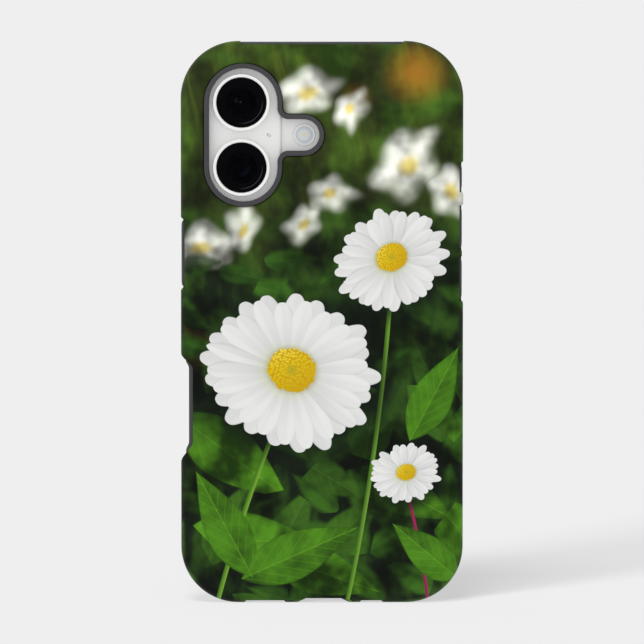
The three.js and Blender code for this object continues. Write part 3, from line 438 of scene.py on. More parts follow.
class Column:
    """One line across the case's edge. A place on it is given by how far in it lies."""

    def __init__(self, side, along, shift=None, corner=None):
        self.side = side
        self.along = along
        self.shift = shift
        self.corner = corner

    def at(self, inset):
        if self.corner:
            centre_x, centre_z, angle = self.corner
            reach = CASE_CORNER - inset
            return centre_x + reach * math.cos(angle), centre_z + reach * math.sin(angle)
        along = self.along + (self.shift(inset) if self.shift else 0)
        return {
            "bottom": (along, inset),
            "right": (HALF_WIDTH - inset, along),
            "top": (along, CASE_HEIGHT - inset),
            "left": (-HALF_WIDTH + inset, along),
        }[self.side]


def notch_ends(notch):
    """Two columns at a notch's ends, slanting inwards by its slope over its depth."""
    slope, depth = notch["slope"], notch["depth"]
    return [
        (notch["start"], lambda inset: slope * min(1, max(0, inset) / depth)),
        (notch["end"], lambda inset: -slope * min(1, max(0, inset) / depth)),
    ]


def recess_depth(along, full):
    """How far in the long recess reaches at a place along the left side."""
    low = (along - KEY_RECESS["start"]) / KEY_RECESS["low_ramp"]
    high = (KEY_RECESS["end"] - along) / KEY_RECESS["high_ramp"]
    share = max(0, min(1, low, high))
    return full * (1 - math.cos(math.pi * share)) / 2


def breakpoints():
    """The places along each side where a column is needed, with its slant if it has one."""
    places = {"bottom": [], "right": [], "top": [], "left": []}
    for notch in BOTTOM_NOTCHES.values():
        places["bottom"] += notch_ends(notch)
    places["top"] += notch_ends(TOP_GAP)
    for pad in PADS.values():
        for end, outward in ((pad["start"], -1), (pad["end"], 1)):
            places[pad["side"]] += [(end, None), (end + outward * pad["recess"], None)]
            places[pad["side"]].append((end + outward * 2 * pad["recess"], None))
    ramp_steps = 14
    for i in range(ramp_steps + 1):
        share = i / ramp_steps
        places["left"].append((KEY_RECESS["start"] + KEY_RECESS["low_ramp"] * share, None))
        places["left"].append((KEY_RECESS["end"] - KEY_RECESS["high_ramp"] * share, None))
    return places


def outline_columns():
    """All columns, counter-clockwise as seen from the back, starting at the bottom left."""
    places = breakpoints()
    spans = {
        "bottom": (-HALF_WIDTH + CASE_CORNER, HALF_WIDTH - CASE_CORNER),
        "right": (CASE_CORNER, CASE_HEIGHT - CASE_CORNER),
        "top": (HALF_WIDTH - CASE_CORNER, -HALF_WIDTH + CASE_CORNER),
        "left": (CASE_HEIGHT - CASE_CORNER, CASE_CORNER),
    }
    columns = []
    for turn, (side, (start, end)) in enumerate(spans.items()):
        direction = 1 if end > start else -1
        fixed = sorted(places[side], key=lambda item: item[0] * direction)
        stops = [(start, None), *fixed, (end, None)]
        for (one, shift), (two, _) in zip(stops, stops[1:]):
            columns.append(Column(side, one, shift))
            pieces = max(1, math.ceil(abs(two - one) / EDGE_SPACING))
            columns += [Column(side, one + (two - one) * i / pieces) for i in range(1, pieces)]
        columns.append(Column(side, end))
        centre_x = (HALF_WIDTH - CASE_CORNER) * (1 if side in ("bottom", "right") else -1)
        centre_z = CASE_CORNER if side in ("bottom", "left") else CASE_HEIGHT - CASE_CORNER
        for i in range(1, CORNER_STEPS):
            angle = math.radians(-90 + 90 * turn + 90 * i / CORNER_STEPS)
            columns.append(Column(side + "_corner", 0, corner=(centre_x, centre_z, angle)))
    return columns


COLUMNS = outline_columns()


def case_outline(inset):
    """The case's outline in X and Z, that far in."""
    half, top, corner = HALF_WIDTH - inset, CASE_HEIGHT - inset, CASE_CORNER - inset
    return rounded_rectangle(-half, half, inset, top, corner, CORNER_STEPS)


def camera_outline(inset, steps=24):
    """The camera opening's outline in X and Z, moved inwards by an inset."""
    pill = OPENING_RADIUS - inset
    bump = BUMP_RADIUS - inset
    fillet = BUMP_FILLET + inset
    fillet_x = OPENING_X + pill + fillet
    return spaced(
        [
            *arc(BUMP_X, OPENING_Z, bump, -90, 90, steps),
            *arc(fillet_x, OPENING_Z + bump + fillet, fillet, 270, 180, steps // 2),
            *arc(OPENING_X, OPENING_Z + OPENING_HALF_SPAN, pill, 0, 180, steps),
            *arc(OPENING_X, OPENING_Z - OPENING_HALF_SPAN, pill, 180, 360, steps),
            *arc(fillet_x, OPENING_Z - bump - fillet, fillet, 180, 90, steps // 2),
        ]
    )


# ---- Outer shell -----------------------------------------------------------------------------

SHELL_FRONT_ROUND = 0.8
OPENING_EDGE_ROUND = 0.3
CURVE_ROWS_TO_CUT = 10
CURVE_ROWS_AFTER_CUT = 5
CUT_ROW = CURVE_ROWS_TO_CUT
SIDE_ROW = CURVE_ROWS_TO_CUT + CURVE_ROWS_AFTER_CUT
SIDE_YS = (-1.6, 0.0, 1.6, PAD_WINDOW_FRONT_Y)
WINDOW_END_ROW = SIDE_ROW + len(SIDE_YS)
FRONT_ROUND_STEPS = 4
PRINT_UV = "print"
PRINT_UNIT = 100.0


def cut_inset(column):
    """How far in the row lies at which this column's cut-out starts."""
    if column.side == "bottom":
        half_way = (BOTTOM_NOTCHES["port"]["end"] + BOTTOM_NOTCHES["microphone"]["start"]) / 2
        notch = BOTTOM_NOTCHES["port" if abs(column.along) < half_way else "speaker"]
        return notch["depth"]
    if column.side == "top":
        return TOP_GAP["depth"]
    return PAD_WINDOW_DEPTH


def curve_turn(column, row):
    """The sine of the angle turned along the back curve, at a row of a column."""
    cut_turn = math.asin((BACK_REACH - cut_inset(column)) / BACK_REACH)
    if row <= CUT_ROW:
        return math.sin(cut_turn * row / CUT_ROW)
    share = (row - CUT_ROW) / CURVE_ROWS_AFTER_CUT
    return math.sin(cut_turn + (math.pi / 2 - cut_turn) * share)


def shallow_recess(column):
    """How far in the shell's surface lies beside the key covers."""
    depth = 0
    for pad in PADS.values():
        if column.side == pad["side"]:
            beyond = max(pad["start"] - column.along, column.along - pad["end"], 0)
            depth = max(depth, pad["recess"] - beyond)
    upper, lower = PADS["volume_up"], PADS["volume_down"]
    if column.side == "right" and lower["end"] < column.along < upper["start"]:
        depth = upper["recess"]
    return depth


def shell_profile(column):
    """Paired outer and inner (inset, y) places down one column, from the flat back to the front."""
    in_recess = column.side == "left" and KEY_RECESS["start"] < column.along < KEY_RECESS["end"]
    edge = recess_depth(column.along, KEY_RECESS["shell"]) if in_recess else 0
    inner_edge = max(edge, SHELL_WALL)
    dent = shallow_recess(column)
    pairs = []
    for row in range(SIDE_ROW + 1):
        turn = curve_turn(column, row)
        outer_turn = turn * (BACK_REACH - edge) / BACK_REACH
        inner_turn = turn * (BACK_REACH - inner_edge) / (BACK_REACH - SHELL_WALL)
        outer_y = BACK_CURVE_Y + (SHELL_BACK_Y - BACK_CURVE_Y) * math.sqrt(max(0, 1 - outer_turn**2))
        inner_y = BACK_CURVE_Y + (SHELL_INNER_Y - BACK_CURVE_Y) * math.sqrt(max(0, 1 - inner_turn**2))
        outer = BACK_REACH * (1 - outer_turn)
        inner = BACK_REACH - (BACK_REACH - SHELL_WALL) * inner_turn
        pairs.append(((max(outer, dent), outer_y), (inner, inner_y)))
    for y in SIDE_YS:
        pairs.append(((dent, y), (SHELL_WALL, y)))
    round_y = SHELL_FRONT_Y - SHELL_FRONT_ROUND
    for inset, y in arc(SHELL_FRONT_ROUND, round_y, SHELL_FRONT_ROUND, 180, 90, FRONT_ROUND_STEPS):
        pairs.append(((max(inset, dent), y), (SHELL_WALL, y)))
    return pairs


def shell_holes():
    """Cut-outs through the shell: side, from and to along it, first and last row."""
    last = WINDOW_END_ROW + FRONT_ROUND_STEPS + 1
    holes = [("bottom", n["start"], n["end"], CUT_ROW, last) for n in BOTTOM_NOTCHES.values()]
    holes.append(("top", TOP_GAP["start"], TOP_GAP["end"], CUT_ROW, last))
    holes.append(("left", KEY_RECESS["start"], KEY_RECESS["end"], SIDE_ROW, last))
    holes += [(p["side"], p["start"], p["end"], CUT_ROW, WINDOW_END_ROW) for p in PADS.values()]
    return holes


def shell_walls(builder):
    """Outer and inner walls with a closed rim at the front and round each hole. Gives both grids."""
    outer, inner = [], []
    for column in COLUMNS:
        pairs = shell_profile(column)
        for k, grid in enumerate((outer, inner)):
            places = [(column.at(pair[k][0]), pair[k][1]) for pair in pairs]
            grid.append([builder.verts.new((x, y, z)) for (x, z), y in places])
    count, rows, holes = len(COLUMNS), len(outer[0]), shell_holes()

    def open_at(j, i):
        one, two = COLUMNS[j % count], COLUMNS[(j + 1) % count]
        if one.side != two.side or one.corner or two.corner:
            return False
        middle = (one.along + two.along) / 2
        return any(
            one.side == side and start < middle < end and first <= i < last
            for side, start, end, first, last in holes
        )

    for j in range(count):
        k = (j + 1) % count
        for i in range(rows - 1):
            if open_at(j, i):
                continue
            builder.faces.new((outer[j][i], outer[j][i + 1], outer[k][i + 1], outer[k][i]))
            hidden = [(inner[j][i], inner[k][i], inner[k][i + 1], inner[j][i + 1])]
            if i + 1 == rows - 1 or open_at(j, i + 1):
                hidden.append((outer[j][i + 1], inner[j][i + 1], inner[k][i + 1], outer[k][i + 1]))
            if i > 0 and open_at(j, i - 1):
                hidden.append((outer[j][i], outer[k][i], inner[k][i], inner[j][i]))
            if open_at(j - 1, i):
                hidden.append((outer[j][i], inner[j][i], inner[j][i + 1], outer[j][i + 1]))
            if open_at(j + 1, i):
                hidden.append((outer[k][i], outer[k][i + 1], inner[k][i + 1], inner[k][i]))
            for corners in hidden:
                builder.faces.new(corners).material_index = 1
    return outer, inner


def remove_unused(builder):
    """Removes the vertices that lie in a cut-out."""
    for vertex in [v for v in builder.verts if not v.link_faces]:
        builder.verts.remove(vertex)


def unrolled(column, line):
    """Where each vertex of an outer line lands when the shell is rolled out flat, in millimetres."""
    start = line[0].co
    inner_x, inner_z = column.at(BACK_REACH + 1)
    outward = Vector((start.x - inner_x, start.z - inner_z)).normalized()
    along = 0
    places = {line[0]: (start.x, start.z)}
    for one, two in zip(line, line[1:]):
        along += (two.co - one.co).length
        places[two] = (start.x + outward.x * along, start.z + outward.y * along)
    return places


def fill_between(builder, ring, hole):
    """A flat triangulated face between a ring of vertices and a hole's ring inside it."""
    edges = []
    for loop in (ring, hole):
        for one, two in zip(loop, loop[1:] + loop[:1]):
            edges.append(builder.edges.get((one, two)) or builder.edges.new((one, two)))
    bmesh.ops.triangle_fill(builder, edges=edges, use_beauty=True)


def outer_shell():
    """The printed moulding, its picture laid out on it as on a shell rolled out flat."""
    builder = bmesh.new()
    outer, inner = shell_walls(builder)
    remove_unused(builder)
    rim = arc(-OPENING_EDGE_ROUND, SHELL_BACK_Y + OPENING_EDGE_ROUND, OPENING_EDGE_ROUND, -90, 0, 4)
    rim.append((0, SHELL_INNER_Y))
    rings = [ring_of(builder, section) for section in sections(camera_outline, rim)]
    bridge(builder, rings)
    fill_between(builder, [line[0] for line in outer], rings[0])
    earlier = set(builder.faces)
    fill_between(builder, [line[0] for line in inner], rings[-1])
    for face in set(builder.faces) - earlier:
        face.material_index = 1
    flat = {}
    for column, line in zip(COLUMNS, outer):
        flat.update(unrolled(column, [v for v in line if v.is_valid]))
    layer = builder.loops.layers.uv.new(PRINT_UV)
    for face in builder.faces:
        for loop in face.loops:
            u, v = flat.get(loop.vert, (loop.vert.co.x, loop.vert.co.z))
            loop[layer].uv = (u / PRINT_UNIT, v / PRINT_UNIT)
    return soften(mesh_object("printed_shell", builder), SHELL_EDGE_SOFTNESS)


# ---- Liner -----------------------------------------------------------------------------------

CURVE_STEPS = 12
OVERCUT = 1.0


def case_loft(name, profile):
    """A solid between two flat faces, through the case's outline at (inset, y) places."""
    return loft(name, sections(case_outline, profile))


def back_curve(side_inset, back_y):
    """From the flat back out to the side wall, a quarter of an ellipse."""
    reach, rise = BACK_REACH - side_inset, back_y - BACK_CURVE_Y
    return [(BACK_REACH - reach * v, BACK_CURVE_Y + rise * u) for u, v in arc(0, 0, 1, 0, 90, CURVE_STEPS)]


def phone_edge(margin, direction, steps=8):
    """The phone's rounded edge, grown by a margin, from its flat face to its side."""
    centre_inset = PHONE_INSET + PHONE_EDGE_ROUND
    centre_y = -PHONE_BACK_Y - PHONE_EDGE_ROUND
    edge = arc(centre_inset, centre_y, PHONE_EDGE_ROUND + margin, 90, 180, steps)
    return [(inset, direction * y) for inset, y in edge]


def recess_cutter(name, depth, back_y, front_y):
    """The long recess in the left side, with an S-shaped ramp at each end."""
    steps = 24
    edge = -HALF_WIDTH
    points = [(edge - OVERCUT, KEY_RECESS["start"])]
    for ramp, foot, direction in (("low_ramp", "start", 1), ("high_ramp", "end", -1)):
        stretch = [KEY_RECESS[foot] + direction * KEY_RECESS[ramp] * i / steps for i in range(steps + 1)]
        ramp_points = [(edge + recess_depth(z, depth), z) for z in stretch]
        points += ramp_points if direction > 0 else ramp_points[::-1]
    points.append((edge - OVERCUT, KEY_RECESS["end"]))
    return prism(name, points, "y", back_y, front_y)


def side_faces(side, low, high):
    """A box's outer and inner X at a side of the phone, and the sign of the way in."""
    return (low.x, high.x, 1) if side == "left" else (high.x, low.x, -1)


def side_outline(low, high, inset, corner, steps):
    """A rounded outline in Y and Z, that far inside a box."""
    return rounded_rectangle(low.y + inset, high.y - inset, low.z + inset, high.z - inset, corner, steps)


def slot_cutter(side, low, high, margin, corner, depth):
    """A rounded slot through a side wall, round a box of (y, z) places grown by a margin."""
    outline = side_outline(low, high, -margin, corner + margin, 10)
    outer, inner = HALF_WIDTH + OVERCUT, HALF_WIDTH - depth
    span = (-outer, -inner) if side == "left" else (inner, outer)
    return prism("slot", outline, "x", *span)


def bottom_slot(start, end, half_height):
    """A rounded slot up through the liner's bottom."""
    corner = half_height * BOTTOM_SLOT_ROUNDNESS
    outline = rounded_rectangle(start, end, -half_height, half_height, corner, 10)
    return prism("slot", outline, "z", -OVERCUT, PHONE_INSET + OVERCUT / 2)


def shell_surface_y(inset):
    """Where the shell's outer surface lies, that far in from the outline."""
    across = (BACK_REACH - inset) / BACK_REACH
    return BACK_CURVE_Y + (SHELL_BACK_Y - BACK_CURVE_Y) * math.sqrt(1 - across**2)


def top_plinth():
    """The bare stretch of liner that fills the gap in the shell's top edge, with slanted ends."""
    shelf_z = CASE_HEIGHT - SHELL_WALL + FIT_GAP / 2
    root_z = CASE_HEIGHT - LINER_INSET - LINER_WALL / 2
    top_z = CASE_HEIGHT - PLINTH_DROP
    back_y = shell_surface_y(TOP_GAP["depth"]) + PLINTH_CLEARANCE
    curve = []
    for degrees in range(0, 91, 5):
        turn = math.radians(degrees)
        y = BACK_CURVE_Y + (SHELL_BACK_Y - BACK_CURVE_Y) * math.cos(turn)
        if y > back_y:
            curve.append((y, top_z - BACK_REACH * (1 - math.sin(turn))))
    front_y = SHELL_FRONT_Y - PLINTH_FRONT_ROUND
    front = arc(front_y, top_z - PLINTH_FRONT_ROUND, PLINTH_FRONT_ROUND, 90, 0, 8)
    section = [(back_y, shelf_z), (back_y, CASE_HEIGHT - TOP_GAP["depth"]), *curve, *front]
    section += [(SHELL_FRONT_Y, root_z), (BACK_CURVE_Y, root_z), (BACK_CURVE_Y, shelf_z)]
    section = spaced(section)
    slope = TOP_GAP["slope"] / TOP_GAP["depth"]
    ends = []
    for end, inward in ((TOP_GAP["start"], 1), (TOP_GAP["end"], -1)):
        ring = []
        for y, z in section:
            below = min(CASE_HEIGHT - z, TOP_GAP["depth"])
            ring.append((end + inward * (below * slope + PLINTH_END_GAP), y, z))
        ends.append(ring)
    plinth = loft("plinth", ends, smooth=False)
    return soften(plinth, PLINTH_EDGE)


def camera_rim():
    """The raised rim round the cameras, with a rounded top."""
    outer = arc(FIT_GAP + RIM_ROUND, CAMERA_RIM_Y + RIM_ROUND, RIM_ROUND, -90, -180, 6)
    return loft("rim", sections(camera_outline, [*outer, (FIT_GAP, LINER_BACK_Y + OVERCUT / 2)]))


def camera_hole():
    """The space inside the raised rim, with the rim's inner rounding."""
    edge = CAMERA_RIM_WIDTH
    inner = arc(edge - RIM_ROUND, CAMERA_RIM_Y + RIM_ROUND, RIM_ROUND, -90, 0, 6)
    profile = [(edge - RIM_ROUND, CAMERA_RIM_Y - OVERCUT), *inner, (edge, 0)]
    return loft("hole", sections(camera_outline, profile))


def pill_outline(radius, steps=32):
    """An upright pill about both lenses."""
    return [
        *arc(LENS_X, LENS_HIGH_Z, radius, 0, 180, steps),
        *arc(LENS_X, LENS_LOW_Z, radius, 180, 360, steps),
    ]


def inner_liner():
    """The flexible moulding, hollow for the phone, with every opening cut through it."""
    lip_inset, lip_y = LINER_INSET + LIP_ROUND_IN, LINER_FRONT_Y - LIP_ROUND_DOWN
    lip = [(lip_inset - LIP_ROUND_IN * u, lip_y + LIP_ROUND_DOWN * v) for u, v in arc(0, 0, 1, 0, 90, 6)]
    liner = case_loft("liner_with_rim", back_curve(LINER_INSET, LINER_BACK_Y) + lip)
    phone_space = phone_edge(FIT_GAP, -1) + phone_edge(FIT_GAP, 1)[::-1]
    window_inset = PHONE_INSET + PHONE_EDGE_ROUND + 2 * FIT_GAP
    window = [(window_inset, 0)]
    window += [(window_inset - outwards, LINER_FRONT_Y - below) for outwards, below in WINDOW_EDGE]
    window.append((window[-1][0], LINER_FRONT_Y + OVERCUT))
    through = (LINER_BACK_Y - OVERCUT, LINER_FRONT_Y + OVERCUT)
    cutters = [case_loft("phone_space", phone_space), case_loft("window", window)]
    cutters.append(recess_cutter("recess", KEY_RECESS["liner"], *through))
    combine(liner, "DIFFERENCE", cutters)
    combine(liner, "UNION", [camera_rim(), top_plinth()])
    plateau = pill_outline(PLATEAU_RADIUS + 2 * FIT_GAP)
    cutters = [camera_hole(), prism("plateau_space", plateau, "y", PLATEAU_Y - FIT_GAP, 0)]
    camera_key = box_mm("camera_key")
    cutters.append(slot_cutter("left", *camera_key, KEY_WINDOW_MARGIN, KEY_WINDOW_CORNER, SLOT_DEPTH))
    for pad in PADS.values():
        cover = pad["side"], pad["low"], pad["high"]
        cutters.append(slot_cutter(*cover, PAD_CLEARANCE, PAD_CORNER, SLOT_DEPTH))
    cutters.append(bottom_slot(*PORT_SLOT, PORT_SLOT_HALF_HEIGHT))
    for name in ("speaker", "microphone"):
        notch = BOTTOM_NOTCHES[name]
        start, end = notch["start"] + BOTTOM_SLOT_INSET, notch["end"] - BOTTOM_SLOT_INSET
        cutters.append(bottom_slot(start, end, BOTTOM_SLOT_HALF_HEIGHT))
    combine(liner, "DIFFERENCE", cutters)
    return shade_by_angle(liner)


def pad_cover(name, pad):
    """A key cover: a bar with rounded edges that bulges slightly from the liner's side."""
    low, high = pad["low"], pad["high"]
    outer_x, inner_x, inward = side_faces(pad["side"], low, high)

    def outline(inset):
        return side_outline(low, high, inset, max(PAD_CROWN_CORNER, PAD_CORNER - inset), 8)

    places = [(inset, outer_x + inward * below) for inset, below in PAD_CROWN]
    return shade_by_angle(loft(name, sections(outline, [*places, (0, inner_x)], "x")), 40)


# ---- Phone -----------------------------------------------------------------------------------


def port_outline(margin):
    """The charging port's outline in X and Y, grown by a margin."""
    _, high = box_mm("charging_port")
    half_height = high.y + margin
    return centred(high.x + margin, half_height, half_height * PORT_ROUNDNESS, 12)


def frame_band():
    """The metal band, grooved for both panes, with holes for the keys and along the bottom."""
    seat_y = -PHONE_BACK_Y - GLASS_THICKNESS - PLATE_GAP
    lip_inset = PHONE_INSET + GLASS_SEAT_WIDTH
    edge = phone_edge(0, 1)[BAND_FIRST_STEP:]
    lip_y = edge[0][1]
    wall = PHONE_INSET + FRAME_WALL
    profile = [(lip_inset, -lip_y)] + [(inset, -y) for inset, y in edge] + edge[::-1]
    profile += [(lip_inset, lip_y), (lip_inset, seat_y), (wall, seat_y)]
    profile += [(wall, -seat_y), (lip_inset, -seat_y)]
    builder = bmesh.new()
    rings = [ring_of(builder, section) for section in sections(case_outline, profile)]
    bridge(builder, rings, closed=True)
    band = mesh_object("frame_band_fine", builder)
    cutters = []
    depth = wall + OVERCUT
    for name, side in KEY_SIDES.items():
        low, high = box_mm(name)
        corner = (high.y - low.y) / 2 * KEY_ROUNDNESS
        cutters.append(slot_cutter(side, low, high, KEY_CLEARANCE, corner, depth))
    cutters.append(prism("port_hole", port_outline(KEY_CLEARANCE), "z", 0, depth))
    for count, first in HOLE_ROWS:
        cutters.append(round_row("holes", count, first, HOLE_SPACING, HOLE_RADIUS, depth, 20))
    screw_x = middle_mm("bottom_screw_right", "x")
    cutters.append(round_row("screw_holes", 2, -screw_x, 2 * screw_x, SCREW_HOLE_RADIUS, depth, 32))
    combine(band, "DIFFERENCE", cutters)
    return shade_by_angle(band)


def row_tree():
    """Equal round pins in a row along X, each standing along Z."""
    tree = bpy.data.node_groups.new("row of pins", "GeometryNodeTree")
    tree.is_modifier = True
    kinds = {
        "Count": "NodeSocketInt",
        "First": "NodeSocketVector",
        "Step": "NodeSocketVector",
        "Radius": "NodeSocketFloat",
        "Length": "NodeSocketFloat",
        "Sides": "NodeSocketInt",
        "Material": "NodeSocketMaterial",
    }
    for label, kind in kinds.items():
        tree.interface.new_socket(label, in_out="INPUT", socket_type=kind)
    tree.interface.new_socket("Pins", in_out="OUTPUT", socket_type="NodeSocketGeometry")
    given = tree.nodes.new("NodeGroupInput")
    pin = tree.nodes.new("GeometryNodeMeshCylinder")
    line = tree.nodes.new("GeometryNodeMeshLine")
    copies = tree.nodes.new("GeometryNodeInstanceOnPoints")
    real = tree.nodes.new("GeometryNodeRealizeInstances")
    painted = tree.nodes.new("GeometryNodeSetMaterial")
    result = tree.nodes.new("NodeGroupOutput")
    for source, target in (
        (given.outputs["Sides"], pin.inputs["Vertices"]),
        (given.outputs["Radius"], pin.inputs["Radius"]),
        (given.outputs["Length"], pin.inputs["Depth"]),
        (given.outputs["Count"], line.inputs["Count"]),
        (given.outputs["First"], line.inputs["Start Location"]),
        (given.outputs["Step"], line.inputs["Offset"]),
        (line.outputs["Mesh"], copies.inputs["Points"]),
        (pin.outputs["Mesh"], copies.inputs["Instance"]),
        (copies.outputs["Instances"], real.inputs["Geometry"]),
        (real.outputs["Geometry"], painted.inputs["Geometry"]),
        (given.outputs["Material"], painted.inputs["Material"]),
        (painted.outputs["Geometry"], result.inputs["Pins"]),
    ):
        tree.links.new(source, target)
    return tree


ROW_TREE = row_tree()


def round_row(name, count, first_x, spacing, radius, height, sides):
    """Round pins in a row across the phone's width, standing on Z = 0, from the row tree."""
    maker = add_object(name, bpy.data.meshes.new(name))
    row = maker.modifiers.new("row", "NODES")
    row.node_group = ROW_TREE
    sockets = {item.name: item.identifier for item in ROW_TREE.interface.items_tree}
    values = {
        "Count": count,
        "First": to_metres((first_x, 0, height / 2)),
        "Step": (spacing * MM, 0, 0),
        "Radius": radius * MM,
        "Length": height * MM,
        "Sides": sides,
    }
    for label, value in values.items():
        row[sockets[label]] = value
    return apply_modifiers(maker)


def glass_plate(name, direction):
    """A phone-sized pane with a softly rounded outer edge."""
    outer = PHONE_INSET + GLASS_SEAT_WIDTH + PLATE_GAP
    profile = [(outer, -PHONE_BACK_Y - GLASS_THICKNESS)]
    for u, v in arc(0, 0, 1, 0, 90, 8):
        profile.append((outer + GLASS_ROUND_IN * (1 - u), -PHONE_BACK_Y - GLASS_ROUND_DOWN * (1 - v)))
    return case_loft(name, [(inset, direction * y) for inset, y in profile])


def disc_cutter(x, z, radius, sides=64):
    """A round hole through the plateau."""
    return prism("disc", arc(x, z, radius, 0, 360, sides)[:-1], "y", PLATEAU_Y - OVERCUT, 0)


def back_glass():
    """The back pane with the raised plateau that carries the cameras."""
    pane = glass_plate("back_glass_fine", -1)
    places = []
    for u, v in arc(0, 0, 1, 90, 0, 8):
        places.append((PLATEAU_ROUND_IN * (1 - u), PLATEAU_Y + PLATEAU_ROUND_DOWN * (1 - v)))
    places += [(inset, PLATEAU_Y + below) for inset, below in PLATEAU_FLARE]
    places.append((places[-1][0], PHONE_BACK_Y + GLASS_THICKNESS / 2))
    plateau = sections(lambda inset: pill_outline(PLATEAU_RADIUS - inset), places)
    combine(pane, "UNION", [loft("plateau", plateau)])
    pocket = pill_outline(PLATEAU_RADIUS - 1.5 * PLATEAU_WALL)
    cutters = [prism("pocket", pocket, "y", PLATEAU_Y + PLATEAU_WALL, 0)]
    for z in (LENS_LOW_Z, LENS_HIGH_Z):
        cutters.append(disc_cutter(LENS_X, z, LENS_NECK_RADIUS + PLATE_GAP))
    cutters.append(disc_cutter(FLASH_X, OPENING_Z, FLASH_RADIUS + INSERT_GAP, 96))
    cutters.append(disc_cutter(MICROPHONE_X, OPENING_Z, MICROPHONE_RADIUS + INSERT_GAP, 40))
    combine(pane, "DIFFERENCE", cutters)
    return shade_by_angle(pane)


def lens_ring(name, z):
    """A stepped ring round a lens, with a ledge for its glass."""
    ring_y = box_mm(name)[0].y
    seat = GLASS_RADIUS + PLATE_GAP
    ledge_y = ring_y + RING_LEDGE
    outer = arc(RING_RADIUS - RING_ROUND, ring_y + RING_ROUND, RING_ROUND, 0, -90, 6)
    inner = arc(seat + RING_INNER_ROUND, ring_y + RING_INNER_ROUND, RING_INNER_ROUND, -90, -180, 4)
    profile = [(RING_RADIUS, PLATEAU_Y - PLATE_GAP), *outer, *inner]
    profile += [(seat, ledge_y), (RING_BORE, ledge_y), (RING_BORE, PHONE_BACK_Y)]
    profile += [(LENS_NECK_RADIUS, PHONE_BACK_Y), (LENS_NECK_RADIUS, PLATEAU_Y - PLATE_GAP)]
    return shade_by_angle(turned(name + "_fine", LENS_X, z, profile, 128), 35)


def lens_glass(name, z):
    """A lens's flat cover with a rounded edge."""
    low, high = box_mm(name)
    edge = arc(GLASS_RADIUS - GLASS_EDGE, low.y + GLASS_EDGE, GLASS_EDGE, -90, 0, 4)
    profile = [(0, low.y), *edge, (GLASS_RADIUS, high.y), (0, high.y)]
    return shade_by_angle(turned(name + "_fine", LENS_X, z, profile, 128), 35)


def camera_module(name, z):
    """A square body with a stepped barrel, its baffles and its domed front lens."""
    low, high = box_mm(name)
    square = rounded_rectangle(low.x, high.x, low.z, high.z, CAMERA_BODY_CORNER, 6)
    body = prism(name + "_fine", square, "y", CAMERA_BODY_BACK_Y, high.y)
    mouth_radius = BARREL_TIP_RADIUS - BARREL_LIP
    mouth = [(BARREL_TIP_RADIUS, low.y), (mouth_radius, low.y)]
    for i in range(1, BAFFLES + 1):
        radius = mouth_radius - (mouth_radius - FRONT_LENS_RADIUS) * i / BAFFLES
        baffle_y = low.y + BARREL_MOUTH_DEPTH * i / BAFFLES
        mouth += [(radius + BAFFLE_EDGE, baffle_y - BAFFLE_RISE), (radius, baffle_y)]
    edge_turn = -math.degrees(math.acos(FRONT_LENS_RADIUS / FRONT_LENS_CURVE))
    dome = arc(0, 0, FRONT_LENS_CURVE, edge_turn, -90, 8)
    lens_y = low.y + BARREL_MOUTH_DEPTH - dome[0][1]
    dome = [(max(0, radius), lens_y + y) for radius, y in dome]
    dome[-1] = (0, dome[-1][1])
    profile = [
        (0, CAMERA_BODY_BACK_Y + OVERCUT),
        (BARREL_RADIUS, CAMERA_BODY_BACK_Y + OVERCUT),
        (BARREL_RADIUS, BARREL_SHOULDER_Y),
        (BARREL_TIP_RADIUS, BARREL_SHOULDER_Y),
        *mouth,
        *dome[1:],
    ]
    combine(body, "UNION", [turned("barrel", LENS_X, z, profile, 96)])
    return shade_by_angle(body)


def flash_cover():
    """The flash's window, with fine rings moulded round its middle."""
    low, high = box_mm("flash_cover")
    profile = [(0, low.y + FLASH_MIDDLE_DROP)]
    ring_space = FLASH_RADIUS - FLASH_MIDDLE_RADIUS - FLASH_PLAIN_EDGE
    for i in range(1, FLASH_RINGS):
        radius = FLASH_MIDDLE_RADIUS + ring_space * i / FLASH_RINGS
        profile += [(radius - inset, low.y + below) for inset, below in FLASH_RING]
    profile += [(FLASH_RADIUS - inset, low.y + below) for inset, below in FLASH_EDGE]
    profile += [(FLASH_RADIUS, high.y), (0, high.y)]
    return shade_by_angle(turned("flash_cover_fine", FLASH_X, OPENING_Z, profile, 96), 60)


def rear_microphone():
    """A small sleeve with a flush, pale end."""
    low, high = box_mm("rear_microphone")
    flange_y = PLATEAU_Y + PLATEAU_WALL + PLATE_GAP
    flange_radius = high.x - MICROPHONE_X
    profile = [
        (0, low.y + MICROPHONE_HOLLOW),
        (MICROPHONE_RADIUS - MICROPHONE_BEVEL[0], low.y + MICROPHONE_HOLLOW),
        (MICROPHONE_RADIUS, low.y + MICROPHONE_BEVEL[1]),
        (MICROPHONE_RADIUS, flange_y),
        (flange_radius, flange_y),
        (flange_radius, high.y),
        (0, high.y),
    ]
    return shade_by_angle(turned("rear_microphone_fine", MICROPHONE_X, OPENING_Z, profile, 40), 35)


def display_glass():
    """The front pane, with a slit for the earpiece at its top edge."""
    pane = glass_plate("display_glass_fine", 1)
    low_z = CASE_HEIGHT - EARPIECE_INSET - EARPIECE_HEIGHT
    high_z = low_z + EARPIECE_HEIGHT
    corner = EARPIECE_HEIGHT / 2.01
    slit = rounded_rectangle(-EARPIECE_HALF_WIDTH, EARPIECE_HALF_WIDTH, low_z, high_z, corner, 6)
    face_y = -PHONE_BACK_Y
    combine(pane, "DIFFERENCE", [prism("slit", slit, "y", face_y - EARPIECE_DEPTH, face_y + OVERCUT)])
    return shade_by_angle(pane)


